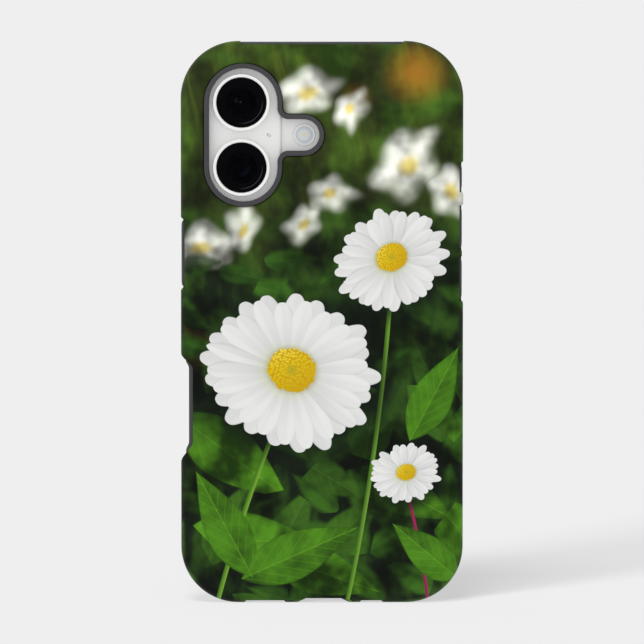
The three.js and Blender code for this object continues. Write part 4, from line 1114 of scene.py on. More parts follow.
def rounded_key(name, side):
    """A key in the frame with a softly rounded outer edge and a flange inside."""
    low, high = box_mm(name)
    outer_x, inner_x, inward = side_faces(side, low, high)
    flange_x = -inward * (PHONE_HIGH.x - FRAME_WALL - PLATE_GAP)
    half = (high.y - low.y) / 2

    def outline(inset, flange=KEY_FLANGE):
        width = half - inset
        low_z, high_z = low.z + flange + inset, high.z - flange - inset
        return rounded_rectangle(-width, width, low_z, high_z, width * KEY_ROUNDNESS, 10)

    def wide(inset):
        return outline(inset, 0)

    places = [(inset, outer_x + inward * below) for inset, below in KEY_EDGE]
    rings = sections(outline, [*places, (0, flange_x)], "x")
    rings += sections(wide, [(0, flange_x + inward * KEY_FLANGE_STEP), (0, inner_x)], "x")
    return shade_by_angle(loft(name + "_fine", rings), 35)


def charging_port():
    """The port's metal sleeve with its tongue inside."""
    low, high = box_mm("charging_port")
    places = [(0, high.z)] + [(inset, low.z + above) for inset, above in PORT_MOUTH]
    places.append((PORT_WALL, high.z - PORT_END_WALL))
    rings = sections(lambda inset: port_outline(-inset), places, "z")
    sleeve = shade_by_angle(loft("charging_port_fine", rings), 40)
    half_width, half_thickness, below, root = TONGUE
    tongue = centred(half_width, half_thickness, half_thickness * TONGUE_ROUNDNESS, 4)
    tongue = prism("tongue", tongue, "z", low.z + below, high.z - root)
    return combine(sleeve, "UNION", [soften(tongue, TONGUE_EDGE)])


def bottom_screw(name):
    """A small screw with a domed head and a plain round recess."""
    low, high = box_mm(name)
    radius = (high.x - low.x) / 2
    profile = [
        (0, low.z + SCREW_RECESS_DEPTH),
        (SCREW_RECESS_RADIUS - SCREW_RECESS_EDGE, low.z + SCREW_RECESS_DEPTH),
        (SCREW_RECESS_RADIUS, low.z + SCREW_DOME[0][1]),
        (SCREW_RECESS_RADIUS + SCREW_RECESS_EDGE, low.z),
        *((radius - inset, low.z + above) for inset, above in SCREW_DOME),
        (radius, low.z + SCREW_HEAD),
        (SCREW_SHANK_RADIUS, low.z + SCREW_HEAD),
        (SCREW_SHANK_RADIUS, high.z),
        (0, high.z),
    ]
    return shade_by_angle(turned(name + "_fine", (low.x + high.x) / 2, 0, profile, 40, "z"), 35)


# ---- Material building -----------------------------------------------------------------------


def feed(socket, value):
    """Links a field to an input, or sets a plain value on it."""
    if isinstance(value, Field):
        socket.id_data.links.new(value.socket, socket)
    else:
        socket.default_value = value


class Field:
    """An output of a material's node, which can be used in sums."""

    def __init__(self, socket):
        self.socket = socket

    def node(self, kind, values=(), output=0, **settings):
        """Another node of the same material. Its settings come first, then its inputs."""
        made = self.socket.id_data.nodes.new(kind)
        for name, setting in settings.items():
            setattr(made, name, setting)
        for key, value in values.items() if isinstance(values, dict) else enumerate(values):
            feed(made.inputs[key], value)
        return Field(made.outputs[output])

    def other(self, output):
        """Another output of the same node."""
        return Field(self.socket.node.outputs[output])

    def maths(self, operation, *others):
        return self.node("ShaderNodeMath", (self, *others), operation=operation)

    def under(self, operation, value):
        """A sum in which this field comes second."""
        return self.node("ShaderNodeMath", (value, self), operation=operation)

    def vector(self, operation, *values, output=0):
        return self.node("ShaderNodeVectorMath", (self, *values), output, operation=operation)

    def __add__(self, value):
        return self.maths("ADD", value)

    __radd__ = __add__

    def __sub__(self, value):
        return self.maths("SUBTRACT", value)

    def __rsub__(self, value):
        return self.under("SUBTRACT", value)

    def __mul__(self, value):
        return self.maths("MULTIPLY", value)

    __rmul__ = __mul__

    def __truediv__(self, value):
        return self.maths("DIVIDE", value)

    def __rtruediv__(self, value):
        return self.under("DIVIDE", value)

    def __pow__(self, value):
        return self.maths("POWER", value)

    def absolute(self):
        return self.maths("ABSOLUTE")

    def length(self):
        """How long this vector is."""
        return self.vector("LENGTH", output="Value")

    def swing(self, width):
        """This noise as a change of up to half a width either way."""
        return (self - 0.5) * width

    def stretched(self):
        """This noise, stretched to run from 0 to 1."""
        return self.step(0.3, 0.7)

    def hypotenuse(self, other):
        """The distance that this number and another make at a right angle."""
        return (self * self + other * other).maths("SQRT")

    def step(self, low, high):
        """0 at low and 1 at high, with a smooth step between them; high may be the lower one."""
        values = {"Value": self, "From Min": low, "From Max": high}
        return self.node("ShaderNodeMapRange", values, interpolation_type="SMOOTHSTEP")

    def parts(self):
        """This vector's X, Y and Z."""
        split = self.node("ShaderNodeSeparateXYZ", (self,))
        return split, split.other(1), split.other(2)

    def channels(self):
        """This colour's three numbers."""
        split = self.node("ShaderNodeSeparateColor", (self,))
        return split, split.other(1), split.other(2)

    def placed(self, x, y, turn=0, width=1, height=1):
        """These coordinates seen from a place, turned in degrees and measured in widths and heights."""
        values = {
            "Vector": self,
            "Location": (x, y, 0),
            "Rotation": (0, 0, math.radians(turn)),
            "Scale": (width, height, 1),
        }
        return self.node("ShaderNodeMapping", values, vector_type="TEXTURE")

    def noise(self, scale, detail=2.0, roughness=0.5, dimensions="3D"):
        values = {"Vector": self, "Scale": scale, "Detail": detail, "Roughness": roughness}
        return self.node("ShaderNodeTexNoise", values, noise_dimensions=dimensions)

    def mix(self, low, high):
        """A colour between two, by this field."""
        made = self.socket.id_data.nodes.new("ShaderNodeMix")
        made.data_type = "RGBA"
        feed(made.inputs[0], self)
        for socket, value in ((made.inputs[6], low), (made.inputs[7], high)):
            feed(socket, value if isinstance(value, Field) else (*value, 1))
        return Field(made.outputs[2])

    def blend(self, low, high):
        """A number or field between two, by this field."""
        return low + (high - low) * self

    def dimmed(self, share):
        """This colour times a field, which may go above 1."""
        dimmed = share.mix((0, 0, 0), self)
        dimmed.socket.node.clamp_factor = False
        return dimmed


def new_material(name, **constants):
    """A material with one shader, its constants set, and the coordinates of a place on it."""
    made = bpy.data.materials.new(name)
    made.use_nodes = True
    set_values(made, **constants)
    return made, Field(made.node_tree.nodes.new("ShaderNodeTexCoord").outputs["Object"])


def set_values(made, **values):
    """Sets the inputs of a material's shader to fields or plain values."""
    surface = made.node_tree.nodes["Principled BSDF"]
    for label, value in values.items():
        feed(surface.inputs[label.replace("_", " ")], value)


def millimetres(position):
    """A place's X, Y and Z in millimetres, in the phone's own frame."""
    moved = position.vector("SUBTRACT", (0, PHONE_MIDDLE_Y, 0))
    return moved.vector("DIVIDE", (MM, MM, MM)).parts()


def paint(made, colour, roughness, height=None, relief=0.0, **others):
    """Gives a material its fields, and bumps it by a height of that many millimetres."""
    set_values(made, Base_Color=colour, Roughness=roughness, **others)
    if height:
        values = {"Strength": 1.0, "Distance": relief * MM, "Height": height}
        set_values(made, Normal=height.node("ShaderNodeBump", values))
    return made


def plain_finish(name, colour, roughness, metallic=0.0, grain=2000, spread=0.12, relief=0.01):
    """A plain material with fine grain: its colour, roughness and surface vary slightly."""
    made, position = new_material(name, Metallic=metallic)
    fine = position.noise(grain, 3)
    broad = position.noise(60, 2)
    tone = broad.stretched() * 0.6 + fine.stretched() * 0.4
    dark = [value * (1 - spread) for value in colour]
    light = [min(1, value * (1 + spread)) for value in colour]
    return paint(made, tone.mix(dark, light), roughness + fine.swing(spread), fine, relief)


# ---- The print -------------------------------------------------------------------------------

WHITE = (0.90, 0.90, 0.88)
PETAL_SHADE = (0.56, 0.58, 0.58)
YELLOW = (0.92, 0.69, 0.014)
ORANGE = (0.62, 0.37, 0.005)
DARK_GREEN = (0.006, 0.013, 0.005)
MID_GREEN = (0.045, 0.13, 0.012)
OLIVE = (0.022, 0.032, 0.006)
AMBER = (0.42, 0.17, 0.015)
MAGENTA = (0.42, 0.02, 0.14)
SHADOW = (0.004, 0.009, 0.004)
OLIVE_LIGHT = (0.052, 0.105, 0.010)
GREEN_LIGHT = (0.028, 0.075, 0.009)
STREAK = (0.11, 0.16, 0.015)
BLOSSOM_SHADE = (0.42, 0.47, 0.30)
BLOSSOM_LIGHT = (0.92, 0.93, 0.86)
BLOSSOM_HEART = (0.72, 0.55, 0.05)
PETAL_ROOT = (0.62, 0.66, 0.20)
HEART_EDGE = (0.20, 0.22, 0.06)
HEART_MIDDLE = (0.40, 0.42, 0.03)
FLORET_TIP = (0.95, 0.80, 0.18)

# Places on the print are in millimetres, as are radii, lengths and widths; turns are in degrees
PRINT_SPECULAR = 0.09
# Pools of light: where, radius and strength
POOLS = ((26, 146, 11, 0.6), (9, 139, 6, 0.35), (-36, 70, 8, 0.25))
# Layers of leaves: cell, heading, spread of headings, blur, shift of the pattern, share of cells that
# hold a leaf, the two heights between which the layer fades in, and its dark, light and rib colours
FAR_GREENS = ((0.012, 0.035, 0.006), (0.045, 0.14, 0.012), (0.06, 0.17, 0.02))
MIDDLE_GREENS = ((0.018, 0.055, 0.006), MID_GREEN, (0.10, 0.24, 0.03))
NEAR_GREENS = ((0.030, 0.095, 0.006), (0.085, 0.27, 0.012), (0.19, 0.46, 0.03))
LEAF_LAYERS = (
    (13, 60, 220, 0.5, (310, 40, 0), 0.9, 112, 88, FAR_GREENS),
    (17, 35, 200, 0.22, (120, 210, 0), 0.75, 84, 62, MIDDLE_GREENS),
    (23, 20, 150, 0.07, (50, 90, 0), 0.6, 58, 40, NEAR_GREENS),
)
# Blossoms out of focus: where, radius, turn and blur
BLOSSOM_DRIFT = 5.5
BLOSSOMS = (
    (-3, 141, 8.5, 20, 0.34),
    (8, 135, 6.0, 65, 0.40),
    (24, 121, 11.5, 45, 0.30),
    (35, 113, 8.0, 10, 0.36),
    (3, 113, 8.0, 10, 0.34),
    (-5, 105, 6.5, 40, 0.38),
    (-33, 98, 10.5, 30, 0.28),
    (-23, 104, 7.0, 75, 0.36),
)
# Stalks: from and to where, sag, half width, colour and colour on the lit side
STALKS = (
    (-9, 58, -30, -4, -5, 0.75, (0.05, 0.16, 0.012), (0.20, 0.42, 0.04)),
    (19, 88, 6, -4, 7, 0.7, (0.05, 0.15, 0.012), (0.18, 0.38, 0.04)),
    (23, 33, 30, -4, 2, 0.5, (0.22, 0.02, 0.06), MAGENTA),
)
# Large leaves: where, turn, length and half width
LEAVES = (
    (-27, 22, 118, 34, 6.5),
    (-6, 14, 24, 36, 7.0),
    (29, 14, 140, 26, 5.5),
    (31, 58, 62, 30, 6.0),
)
# Daisies: where, radius, number of petals, turn and how far they are foreshortened
DAISY_SOFTNESS = 0.006
DAISIES = (
    (19, 95, 17, 17, 25, 0.86),
    (-9, 64, 26, 21, -18, 0.88),
    (23, 36, 10.5, 15, 12, 0.82),
)


def backdrop(place):
    """Out-of-focus woodland light: olive above, deep green below, with soft pools of colour."""
    _, z, _ = place.parts()
    pools = place.noise(0.035, 2, dimensions="2D")
    patches = place.vector("MULTIPLY", (1, 0.55, 1)).noise(0.11, 3, dimensions="2D")
    upper = patches.step(0.35, 0.75).mix(OLIVE, OLIVE_LIGHT)
    lower = patches.step(0.42, 0.72).mix(DARK_GREEN, GREEN_LIGHT)
    picture = (z + pools * 50).step(105, 150).mix(lower, upper)
    bright = place.vector("ADD", (70, 20, 0)).noise(0.06, 1, dimensions="2D").step(0.55, 0.78)
    picture = (bright * z.step(60, 110) * 0.5).mix(picture, MID_GREEN)
    streaks = place.placed(0, 0, 14).vector("MULTIPLY", (1, 0.1, 1)).noise(0.3, 2, dimensions="2D")
    picture = (streaks.step(0.55, 0.8) * z.step(100, 135) * 0.3).mix(picture, STREAK)
    for centre_x, centre_z, radius, strength in POOLS:
        reach = place.placed(centre_x, centre_z).length()
        picture = (reach.step(radius, 0) * strength).mix(picture, AMBER)
    return picture


def leaf_shape(local, blur):
    """How far inside a leaf a place is, and how bright; the leaf runs from -1 to 1 along X."""
    u, v, _ = local.parts()
    side = v.absolute()
    width = (1 - u * u) * (1 - u * 0.42).maths("MAXIMUM", 0.1) * 0.95
    inside = (width - side).step(0, blur)
    midrib = side.step(0.045, 0.0)
    veins = (u * 4.2 - side * 2.6).maths("PINGPONG", 0.5).step(0.12, 0.0)
    tone = 0.55 + v.step(-0.1, 0.12) * 0.3 - (width - side).step(0.25, 0.0) * 0.18
    return inside, tone, midrib + veins * 0.45


def leaf_layer(place, picture, cell, heading, spread, blur, shift, share, top, bottom, colours):
    """One layer of leaves, one in each cell of a loose pattern, fading in below a height."""
    moved = place.vector("ADD", shift)
    values = {"Vector": moved, "Scale": 1 / cell, "Randomness": 0.85}
    cells = moved.node("ShaderNodeTexVoronoi", values, voronoi_dimensions="2D", feature="F1")
    chance, size, hue = cells.other("Color").channels()
    offset = moved.vector("SUBTRACT", cells.other("Position"))
    angle = chance.swing(math.radians(spread)) + math.radians(heading)
    turned_values = {"Vector": offset, "Angle": 0 - angle}
    local = offset.node("ShaderNodeVectorRotate", turned_values, rotation_type="Z_AXIS")
    half = (0.62 + size * 0.3) * cell
    local = local.vector("DIVIDE", half.node("ShaderNodeCombineXYZ", (half, half * 0.42, 1.0)))
    inside, tone, ribs = leaf_shape(local, blur)
    inside = inside * hue.step(1 - share - 0.02, 1 - share)
    dark, light, rib = colours
    body = (ribs * 0.35).mix((tone + size.swing(0.7)).mix(dark, light), rib)
    _, z, _ = place.parts()
    return z.step(top, bottom).mix(picture, inside.mix(picture, body))


def highest(rows):
    """The highest of each field over rows of fields."""
    fields = rows[0]
    for row in rows[1:]:
        fields = [one.maths("MAXIMUM", other) for one, other in zip(fields, row)]
    return fields


def blossom(place, x, z, radius, turn, blur):
    """A blossom far out of focus: how much it covers, how bright it is there, and its heart."""
    local = place.placed(x, z, turn, radius, radius * 0.8)
    across, up, _ = local.parts()
    reach = local.length()
    lobes = (up.maths("ARCTAN2", across) * 5).maths("COSINE")
    depth = 0.78 + lobes * 0.12 * reach.step(0.2, 0.8) - reach
    cover = depth.step(-blur, blur) * 0.95
    light = 0.62 + depth * 0.4 + up * 0.25 + lobes * 0.1
    return cover, light * cover.step(0.0, 0.25), reach.step(0.42, 0.1) * 0.8


def blossoms(place, picture):
    """Every blossom, laid over a picture together: the brightest shows where two meet."""
    right, up, _ = place.noise(0.06, 0, dimensions="2D").other("Color").channels()
    drift = (right.swing(BLOSSOM_DRIFT), up.swing(BLOSSOM_DRIFT), 0.0)
    drifted = place.vector("ADD", place.node("ShaderNodeCombineXYZ", drift))
    cover, light, heart = highest([blossom(drifted, *values) for values in BLOSSOMS])
    picture = cover.mix(picture, light.mix(BLOSSOM_SHADE, BLOSSOM_LIGHT))
    return heart.mix(picture, BLOSSOM_HEART)


def petal_row(reach, turns, count, offset, seed, width, length):
    """One ring of petals about a daisy's heart: how far inside a place is, and its shade."""
    petal = turns * count + offset
    number = petal.maths("FLOOR")
    chance = number.node("ShaderNodeTexWhiteNoise", {"W": number + seed}, noise_dimensions="1D")
    other = number.node("ShaderNodeTexWhiteNoise", {"W": number + seed + 0.37}, noise_dimensions="1D")
    across = (petal - number - 0.5 + chance.swing(0.3)) * reach * (2 * math.pi / count)
    along = reach / (length - other * 0.13)
    half = along**0.55 * width * (1 - along**5).maths("SQRT")
    notch = (across * 26).maths("COSINE") * 0.012 * along.step(0.7, 1)
    beyond = (along - 1).maths("MAXIMUM", 0) * 5
    depth = half - across.absolute() + notch - beyond
    ridges = (across * (5.2 / width)).maths("SINE").absolute()
    shade = along.step(0.15, 0.85) * 0.42 + 0.52 + across * 1.6 - (1 - ridges) * 0.10
    shade = shade - depth.step(0.035, 0) * 0.3 + chance.swing(0.22)
    return depth, shade


def nearest_daisy(place):
    """Coordinates within the nearest daisy, the distance from its heart, its petals and its number."""
    local, reach, count, number = None, None, None, None
    for index, (x, z, radius, petals, lean, squash) in enumerate(DAISIES):
        own = place.placed(x, z, lean, radius, radius * squash)
        own_reach = own.length()
        if local is None:
            local, reach, count, number = own, own_reach, petals, index
            continue
        closer = own_reach.maths("LESS_THAN", reach)
        change = {0: own.vector("SUBTRACT", local), "Scale": closer}
        local = local.vector("ADD", own.node("ShaderNodeVectorMath", change, operation="SCALE"))
        reach = reach.maths("MINIMUM", own_reach)
        count = closer.blend(count, petals)
        number = closer.blend(number, index)
    return local, reach, count, number


def daisies(place, picture):
    """The daisies, each seen a little from the side, laid over a picture with soft shadows."""
    for x, z, radius, _, lean, squash in DAISIES:
        shadow = place.placed(x + 0.12 * radius, z - 0.14 * radius, lean, radius, radius * squash)
        shadow = shadow.length().step(1.18, 0.7) * 0.8
        picture = shadow.mix(picture, SHADOW)
    local, reach, count, number = nearest_daisy(place)
    across, up, _ = local.parts()
    turns = up.maths("ARCTAN2", across) * (1 / (2 * math.pi))
    seed = number * 20 + 11
    soft = DAISY_SOFTNESS
    under, under_shade = petal_row(reach, turns, count, 0.5, seed, 0.175, 1.0)
    over, over_shade = petal_row(reach, turns, count, 0.0, seed + 50, 0.165, 0.93)
    over = over.step(-soft, soft)
    shade = over.blend(under_shade * 0.8, over_shade)
    cover = over.maths("MAXIMUM", under.step(-soft, soft))
    flower = shade.mix(PETAL_SHADE, WHITE)
    flower = (reach.step(0.42, 0.2) * 0.35).mix(flower, PETAL_ROOT)
    heart = local.placed(0.02, 0.03)
    heart_reach = heart.length()
    flower = (heart_reach.step(0.33, 0.22) * 0.45).mix(flower, HEART_EDGE)
    values = {"Vector": heart, "Scale": 30.0, "Randomness": 0.75}
    florets = heart.node("ShaderNodeTexVoronoi", values, voronoi_dimensions="2D")
    right, top, _ = heart.parts()
    light = 0.62 + (top - right) * 1.1
    light = light - heart_reach.step(0.0, 0.24) * 0.08 - heart_reach.step(0.1, 0.0) * 0.25
    dots = florets.step(0.75, 0.15) * light
    disc = dots.mix(ORANGE, YELLOW)
    disc = (dots.step(0.62, 0.95) * 0.8).mix(disc, FLORET_TIP)
    disc = (heart_reach.step(0.09, 0.02) * 0.5).mix(disc, HEART_MIDDLE)
    edge = 0.245 + florets.other("Color").channels()[0] * 0.03
    inside = (edge - heart_reach).step(-soft, soft)
    return cover.maths("MAXIMUM", inside).mix(picture, inside.mix(flower, disc))


def stalk(place, picture, x, z, end_x, end_z, sag, width, colour, light):
    """A curved stalk between two places, brighter along its upper side."""
    turn = math.degrees(math.atan2(end_z - z, end_x - x))
    length = math.dist((x, z), (end_x, end_z))
    along, side, _ = place.placed(x, z, turn, length, 1).parts()
    off = side - along * (1 - along) * sag
    inside = off.absolute().step(width, width * 0.7) * along.step(-0.01, 0.0) * along.step(1.01, 1.0)
    return inside.mix(picture, off.step(-width, width).mix(colour, light))


def large_leaf(place, x, z, turn, length, width):
    """One large leaf: how much it covers, its tone and its ribs."""
    local = place.placed(x, z, turn, length / 2, width)
    inside, tone, ribs = leaf_shape(local, 0.09)
    return inside, tone * inside, ribs * inside


def large_leaves(place, picture):
    """Every large leaf, laid over a picture together."""
    cover, tone, ribs = highest([large_leaf(place, *values) for values in LEAVES])
    mottle = place.noise(0.12, 4, 0.6, dimensions="2D")
    dark, light, rib = NEAR_GREENS
    body = (tone - 0.1 + mottle.swing(2.0)).mix(dark, light)
    return cover.mix(picture, (ribs * 0.4).mix(body, rib))


def print_material():
    """The floral print, drawn in millimetres on the rolled-out shell."""
    made, position = new_material("floral print", Specular_IOR_Level=PRINT_SPECULAR)
    flat = position.node("ShaderNodeUVMap", uv_map=PRINT_UV)
    place = flat.vector("MULTIPLY", (PRINT_UNIT, PRINT_UNIT, 1))
    picture = blossoms(place, backdrop(place))
    for layer in LEAF_LAYERS:
        picture = leaf_layer(place, picture, *layer)
    _, z, _ = place.parts()
    dapple = place.vector("ADD", (12, 80, 0)).noise(0.055, 3, 0.6, dimensions="2D").step(0.34, 0.66)
    picture = picture.dimmed(0.16 + dapple * 1.05 + z.step(80, 130) * 0.35)
    for values in STALKS:
        picture = stalk(place, picture, *values)
    picture = large_leaves(place, picture)
    picture = daisies(place, picture)
    fine = position.noise(2600, 2)
    return paint(made, picture, 0.42 + fine.swing(0.14), fine, 0.004)


# ---- Other materials -------------------------------------------------------------------------

CAMERA_BLACK = (0.002, 0.002, 0.003)


def liner_material():
    """Matt flexible moulding: a fine spark-eroded texture with faint handling marks."""
    made, position = new_material("liner", Specular_IOR_Level=0.32)
    fine = position.noise(3200, 3, 0.6)
    cloud = position.noise(45, 3)
    tone = cloud.stretched().mix((0.050, 0.048, 0.055), (0.062, 0.060, 0.067))
    return paint(made, tone, 0.62 + cloud.swing(0.2) + fine.swing(0.1), fine, 0.012)


def blasted_metal(name, colour, roughness):
    """Anodised metal with an even blasted grain."""
    made, position = new_material(name, Metallic=0.85)
    fine = position.noise(5200, 2, 0.6)
    tone = fine.stretched().mix([c * 0.94 for c in colour], colour)
    return paint(made, tone, roughness + fine.swing(0.12), fine, 0.004)


def frame_material():
    """The frame's metal, crossed by the plastic lines of the aerials."""
    made, position = new_material("frame metal")
    fine = position.noise(5200, 2, 0.6)
    x, _, z = millimetres(position)
    upright = (x.absolute() - AERIAL_X).absolute()
    level = ((z - CASE_HEIGHT / 2).absolute() - AERIAL_OFF_MIDDLE).absolute()
    lines = upright.maths("MINIMUM", level).step(*AERIAL_EDGE)
    metal = fine.stretched().mix((0.74, 0.74, 0.73), (0.80, 0.80, 0.79))
    roughness = 0.33 + lines * 0.15 + fine.swing(0.1)
    metallic = 0.85 - lines * 0.85
    return paint(made, lines.mix(metal, (0.62, 0.62, 0.60)), roughness, fine, 0.004, Metallic=metallic)


def back_glass_material():
    """White glass, polished on the raised plateau and matt on the flat."""
    made, position = new_material("white glass", Specular_IOR_Level=0.9)
    fine = position.noise(4200, 2)
    _, y, _ = millimetres(position)
    raised = y.step(PHONE_BACK_Y - 0.2, PHONE_BACK_Y - 0.5)
    tint = position.noise(35, 2).stretched().mix((0.92, 0.92, 0.91), (0.94, 0.94, 0.93))
    return paint(made, tint, 0.34 - raised * 0.22 + fine.swing(0.05), fine, 0.002)


def from_lens(position):
    """How far a place is right of, above and from the nearer lens's centre, in millimetres."""
    x, _, z = millimetres(position)
    across = x - LENS_X
    middle = z - (LENS_HIGH_Z + LENS_LOW_Z) / 2
    half_apart = (LENS_HIGH_Z - LENS_LOW_Z) / 2
    up = middle - middle.maths("SIGN") * half_apart
    return across, up, across.hypotenuse(up)


def ring_material():
    """Polished metal, turned on a lathe: fine circles round each camera."""
    made, position = new_material("turned metal", Metallic=0.6)
    _, _, reach = from_lens(position)
    turns = reach * 30
    circles = turns.node("ShaderNodeTexNoise", {"W": turns, "Detail": 2.0}, noise_dimensions="1D")
    tone = circles.stretched().mix((0.95, 0.95, 0.94), (0.99, 0.99, 0.98))
    return paint(made, tone, 0.22 + circles.swing(0.12), circles, 0.002)


def lens_glass_material():
    """Coated cover glass: smoked at its middle, with an opaque printed ring at its edge."""
    made, position = new_material("cover glass", Specular_IOR_Level=0.03)
    across, up, reach = from_lens(position)
    window = reach.step(4.6, 3.4)
    smear = position.noise(220, 3)
    glint = (reach - 5.75).absolute().step(0.16, 0.02) * (across - up - 4.5).step(0, 3)
    tone = glint.mix((0.0010, 0.0011, 0.0020), (0.050, 0.050, 0.056))
    return paint(made, tone, 0.04 + smear * 0.03, Alpha=1.0 - window * 0.5)


def barrel_material():
    """Black camera parts; each front lens shows painted reflections: a brown patch with a painted highlight
    dot in the upper one, a blue crescent in the lower.
    """
    made, position = new_material("camera black", Specular_IOR_Level=0.05)
    across, up, reach = from_lens(position)
    lower = millimetres(position)[2].step(OPENING_Z + 1, OPENING_Z - 1)
    lens = reach.step(FRONT_LENS_RADIUS + 0.02, FRONT_LENS_RADIUS - 0.02)
    # Painted reflections: a brown patch in the upper lens, and a blue crescent towards the lower right of
    # the lower lens.
    brown = (across + 1.5).absolute().step(0.55, 0.25) * (up - 0.5).absolute().step(0.8, 0.4)
    blue = (across - up).step(0.3, 3.2) * reach.step(2.5, 2.1)
    upper_lens_reflection = brown.mix(CAMERA_BLACK, (0.110, 0.090, 0.065))
    # A tiny painted highlight dot in the upper lens.
    spark = ((across + 0.3) * (across + 0.3) + (up - 0.1) * (up - 0.1)).step(0.05, 0.01)
    upper_lens_reflection = spark.mix(upper_lens_reflection, (0.45, 0.45, 0.42))
    lower_lens_reflection = blue.mix(CAMERA_BLACK, (0.036, 0.055, 0.130))
    painted_lens_reflections = lower.mix(upper_lens_reflection, lower_lens_reflection)
    fine = position.noise(2600, 2)
    return paint(made, lens.mix(CAMERA_BLACK, painted_lens_reflections), 0.6 + fine.swing(0.1) - lens * 0.35)


def microphone_material():
    """A pale end with two tiny holes, and a black body."""
    made, position = new_material("microphone cover", Specular_IOR_Level=0.4)
    x, y, z = millimetres(position)
    across, up = x - MICROPHONE_X, z - OPENING_Z
    shade = 0
    for dot_x, dot_z, size in MICROPHONE_DOTS:
        off = (across - dot_x).hypotenuse(up - dot_z)
        shade = off.step(size, size * 0.4).maths("MAXIMUM", shade)
    end = y.step(PLATEAU_Y + 0.3, PLATEAU_Y + 0.2)
    pale = (shade * 0.85).mix((0.93, 0.93, 0.92), (0.10, 0.10, 0.11))
    return paint(made, end.mix((0.02, 0.02, 0.021), pale), 0.3 + shade * 0.4)


def flash_material():
    """A pale diffuser: the warm lamp shows at its middle, grey-blue rings round it."""
    made, position = new_material("diffuser", Specular_IOR_Level=0.55, Coat_Weight=0.5)
    x, _, z = millimetres(position)
    reach = (x - FLASH_X).hypotenuse(z - OPENING_Z)
    rings = (reach * (2 * math.pi / 0.42)).maths("SINE") * 0.5 + 0.5
    tone = reach.step(0.5, 1.0).mix((0.90, 0.86, 0.70), (0.88, 0.91, 0.93))
    for cover, colour in (
        ((reach - 2.0).absolute().step(0.5, 0.2) * 0.75, (0.62, 0.70, 0.75)),
        (rings * reach.step(0.6, 1.0) * reach.step(2.6, 2.2) * 0.45, (0.58, 0.64, 0.70)),
        (reach.step(2.45, 2.6), (0.95, 0.95, 0.94)),
        (reach.step(3.0, 3.1) * 0.6, (0.40, 0.41, 0.42)),
        (reach.step(0.5, 0.2) * 0.6, (0.80, 0.72, 0.50)),
    ):
        tone = cover.mix(tone, colour)
    return paint(made, tone, 0.14 + rings * 0.08)


def display_material():
    """Switched-off display glass: the lit area is a shade lighter than its black border."""
    made, position = new_material("display", Specular_IOR_Level=0.25)
    x, _, z = millimetres(position)
    inset = PHONE_INSET + BEZEL
    corner = CASE_CORNER - inset
    right = (x.absolute() - (HALF_WIDTH - inset - corner)).maths("MAXIMUM", 0)
    up = ((z - CASE_HEIGHT / 2).absolute() - (CASE_HEIGHT / 2 - inset - corner)).maths("MAXIMUM", 0)
    side = (x.absolute() - (ISLAND_HALF_WIDTH - ISLAND_RADIUS)).maths("MAXIMUM", 0)
    from_island = side.hypotenuse(z - ISLAND_Z)
    island = from_island.step(ISLAND_RADIUS + 0.04, ISLAND_RADIUS - 0.04)
    lit = right.hypotenuse(up).step(corner + 0.05, corner - 0.05) * (1.0 - island)
    eye = (x - ISLAND_EYE_X).hypotenuse(z - ISLAND_Z)
    colour = lit.mix((0.0028, 0.0028, 0.0030), (0.0085, 0.0090, 0.0105))
    colour = eye.step(1.5, 1.3).mix(colour, (0.004, 0.006, 0.014))
    return paint(made, colour, 0.035 + position.noise(90, 4, 0.6).step(0.35, 0.8) * 0.05)


def board_material():
    """Green solder mask over a faint pattern of tracks."""
    made, position = new_material("circuit board")
    values = {"Vector": position, "Scale": 380.0}
    tracks = position.node("ShaderNodeTexVoronoi", values, feature="DISTANCE_TO_EDGE").step(0.02, 0.08)
    tone = tracks.mix((0.03, 0.12, 0.05), (0.010, 0.05, 0.025))
    return paint(made, tone, 0.35 + tracks * 0.2, tracks, 0.01)


def copper_material():
    """Flat wire wound in circles round the charging centre."""
    made, position = new_material("wound copper", Metallic=1.0)
    x, _, z = millimetres(position)
    turns = (x.hypotenuse(z - CHARGING_CENTRE_Z) * 5.5).maths("SINE")
    tone = turns.step(-1, 1).mix((0.45, 0.20, 0.09), (0.78, 0.44, 0.24))
    return paint(made, tone, 0.38 - turns * 0.08, turns, 0.05)


SHELL_BODY = plain_finish("moulded shell", (0.022, 0.022, 0.024), 0.5, grain=1500, relief=0.006)
FINISHES = {
    "printed_shell": print_material(),
    "liner_rubber": liner_material(),
    "frame_metal": frame_material(),
    "back_glass": back_glass_material(),
    "lens_ring": ring_material(),
    "lens_glass": lens_glass_material(),
    "lens_black": barrel_material(),
    "flash_diffuser": flash_material(),
    "display_glass": display_material(),
    "key_metal": blasted_metal("key metal", (0.80, 0.80, 0.79), 0.30),
    "port_metal": plain_finish("port steel", (0.42, 0.42, 0.43), 0.32, 0.95, 1800, 0.1, 0.004),
    "steel": plain_finish("plain steel", (0.48, 0.49, 0.50), 0.36, 0.95, 1200, 0.12, 0.006),
    "plate_metal": plain_finish("sheet metal", (0.60, 0.61, 0.62), 0.42, 0.9, 1200, 0.1, 0.006),
    "black_plastic": plain_finish("black plastic", (0.02, 0.02, 0.021), 0.5, 0.0, 1600, 0.15, 0.01),
    "battery_wrap": plain_finish("battery film", (0.03, 0.03, 0.032), 0.42, grain=900, relief=0.02),
    "circuit_board": board_material(),
    "copper": copper_material(),
}

# ---- Putting the pieces together -------------------------------------------------------------


def finish_piece(piece, body, slot, node, finishes=()):
    """Gives a piece its materials and its body, and hides the node that it stands for."""
    piece.data.materials.clear()
    for finish in finishes or (FINISHES[slot],):
        piece.data.materials.append(finish)
    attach(piece, body)
    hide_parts(node)


def build_case():
    """The two mouldings and the key covers."""
    shell_finishes = (FINISHES["printed_shell"], SHELL_BODY)
    finish_piece(outer_shell(), ROOT, "printed_shell", "outer_shell", shell_finishes)
    finish_piece(inner_liner(), ROOT, "liner_rubber", "inner_liner")
    for name, pad in PADS.items():
        finish_piece(pad_cover(name + "_pad", pad), name, "liner_rubber", name + "_cover")


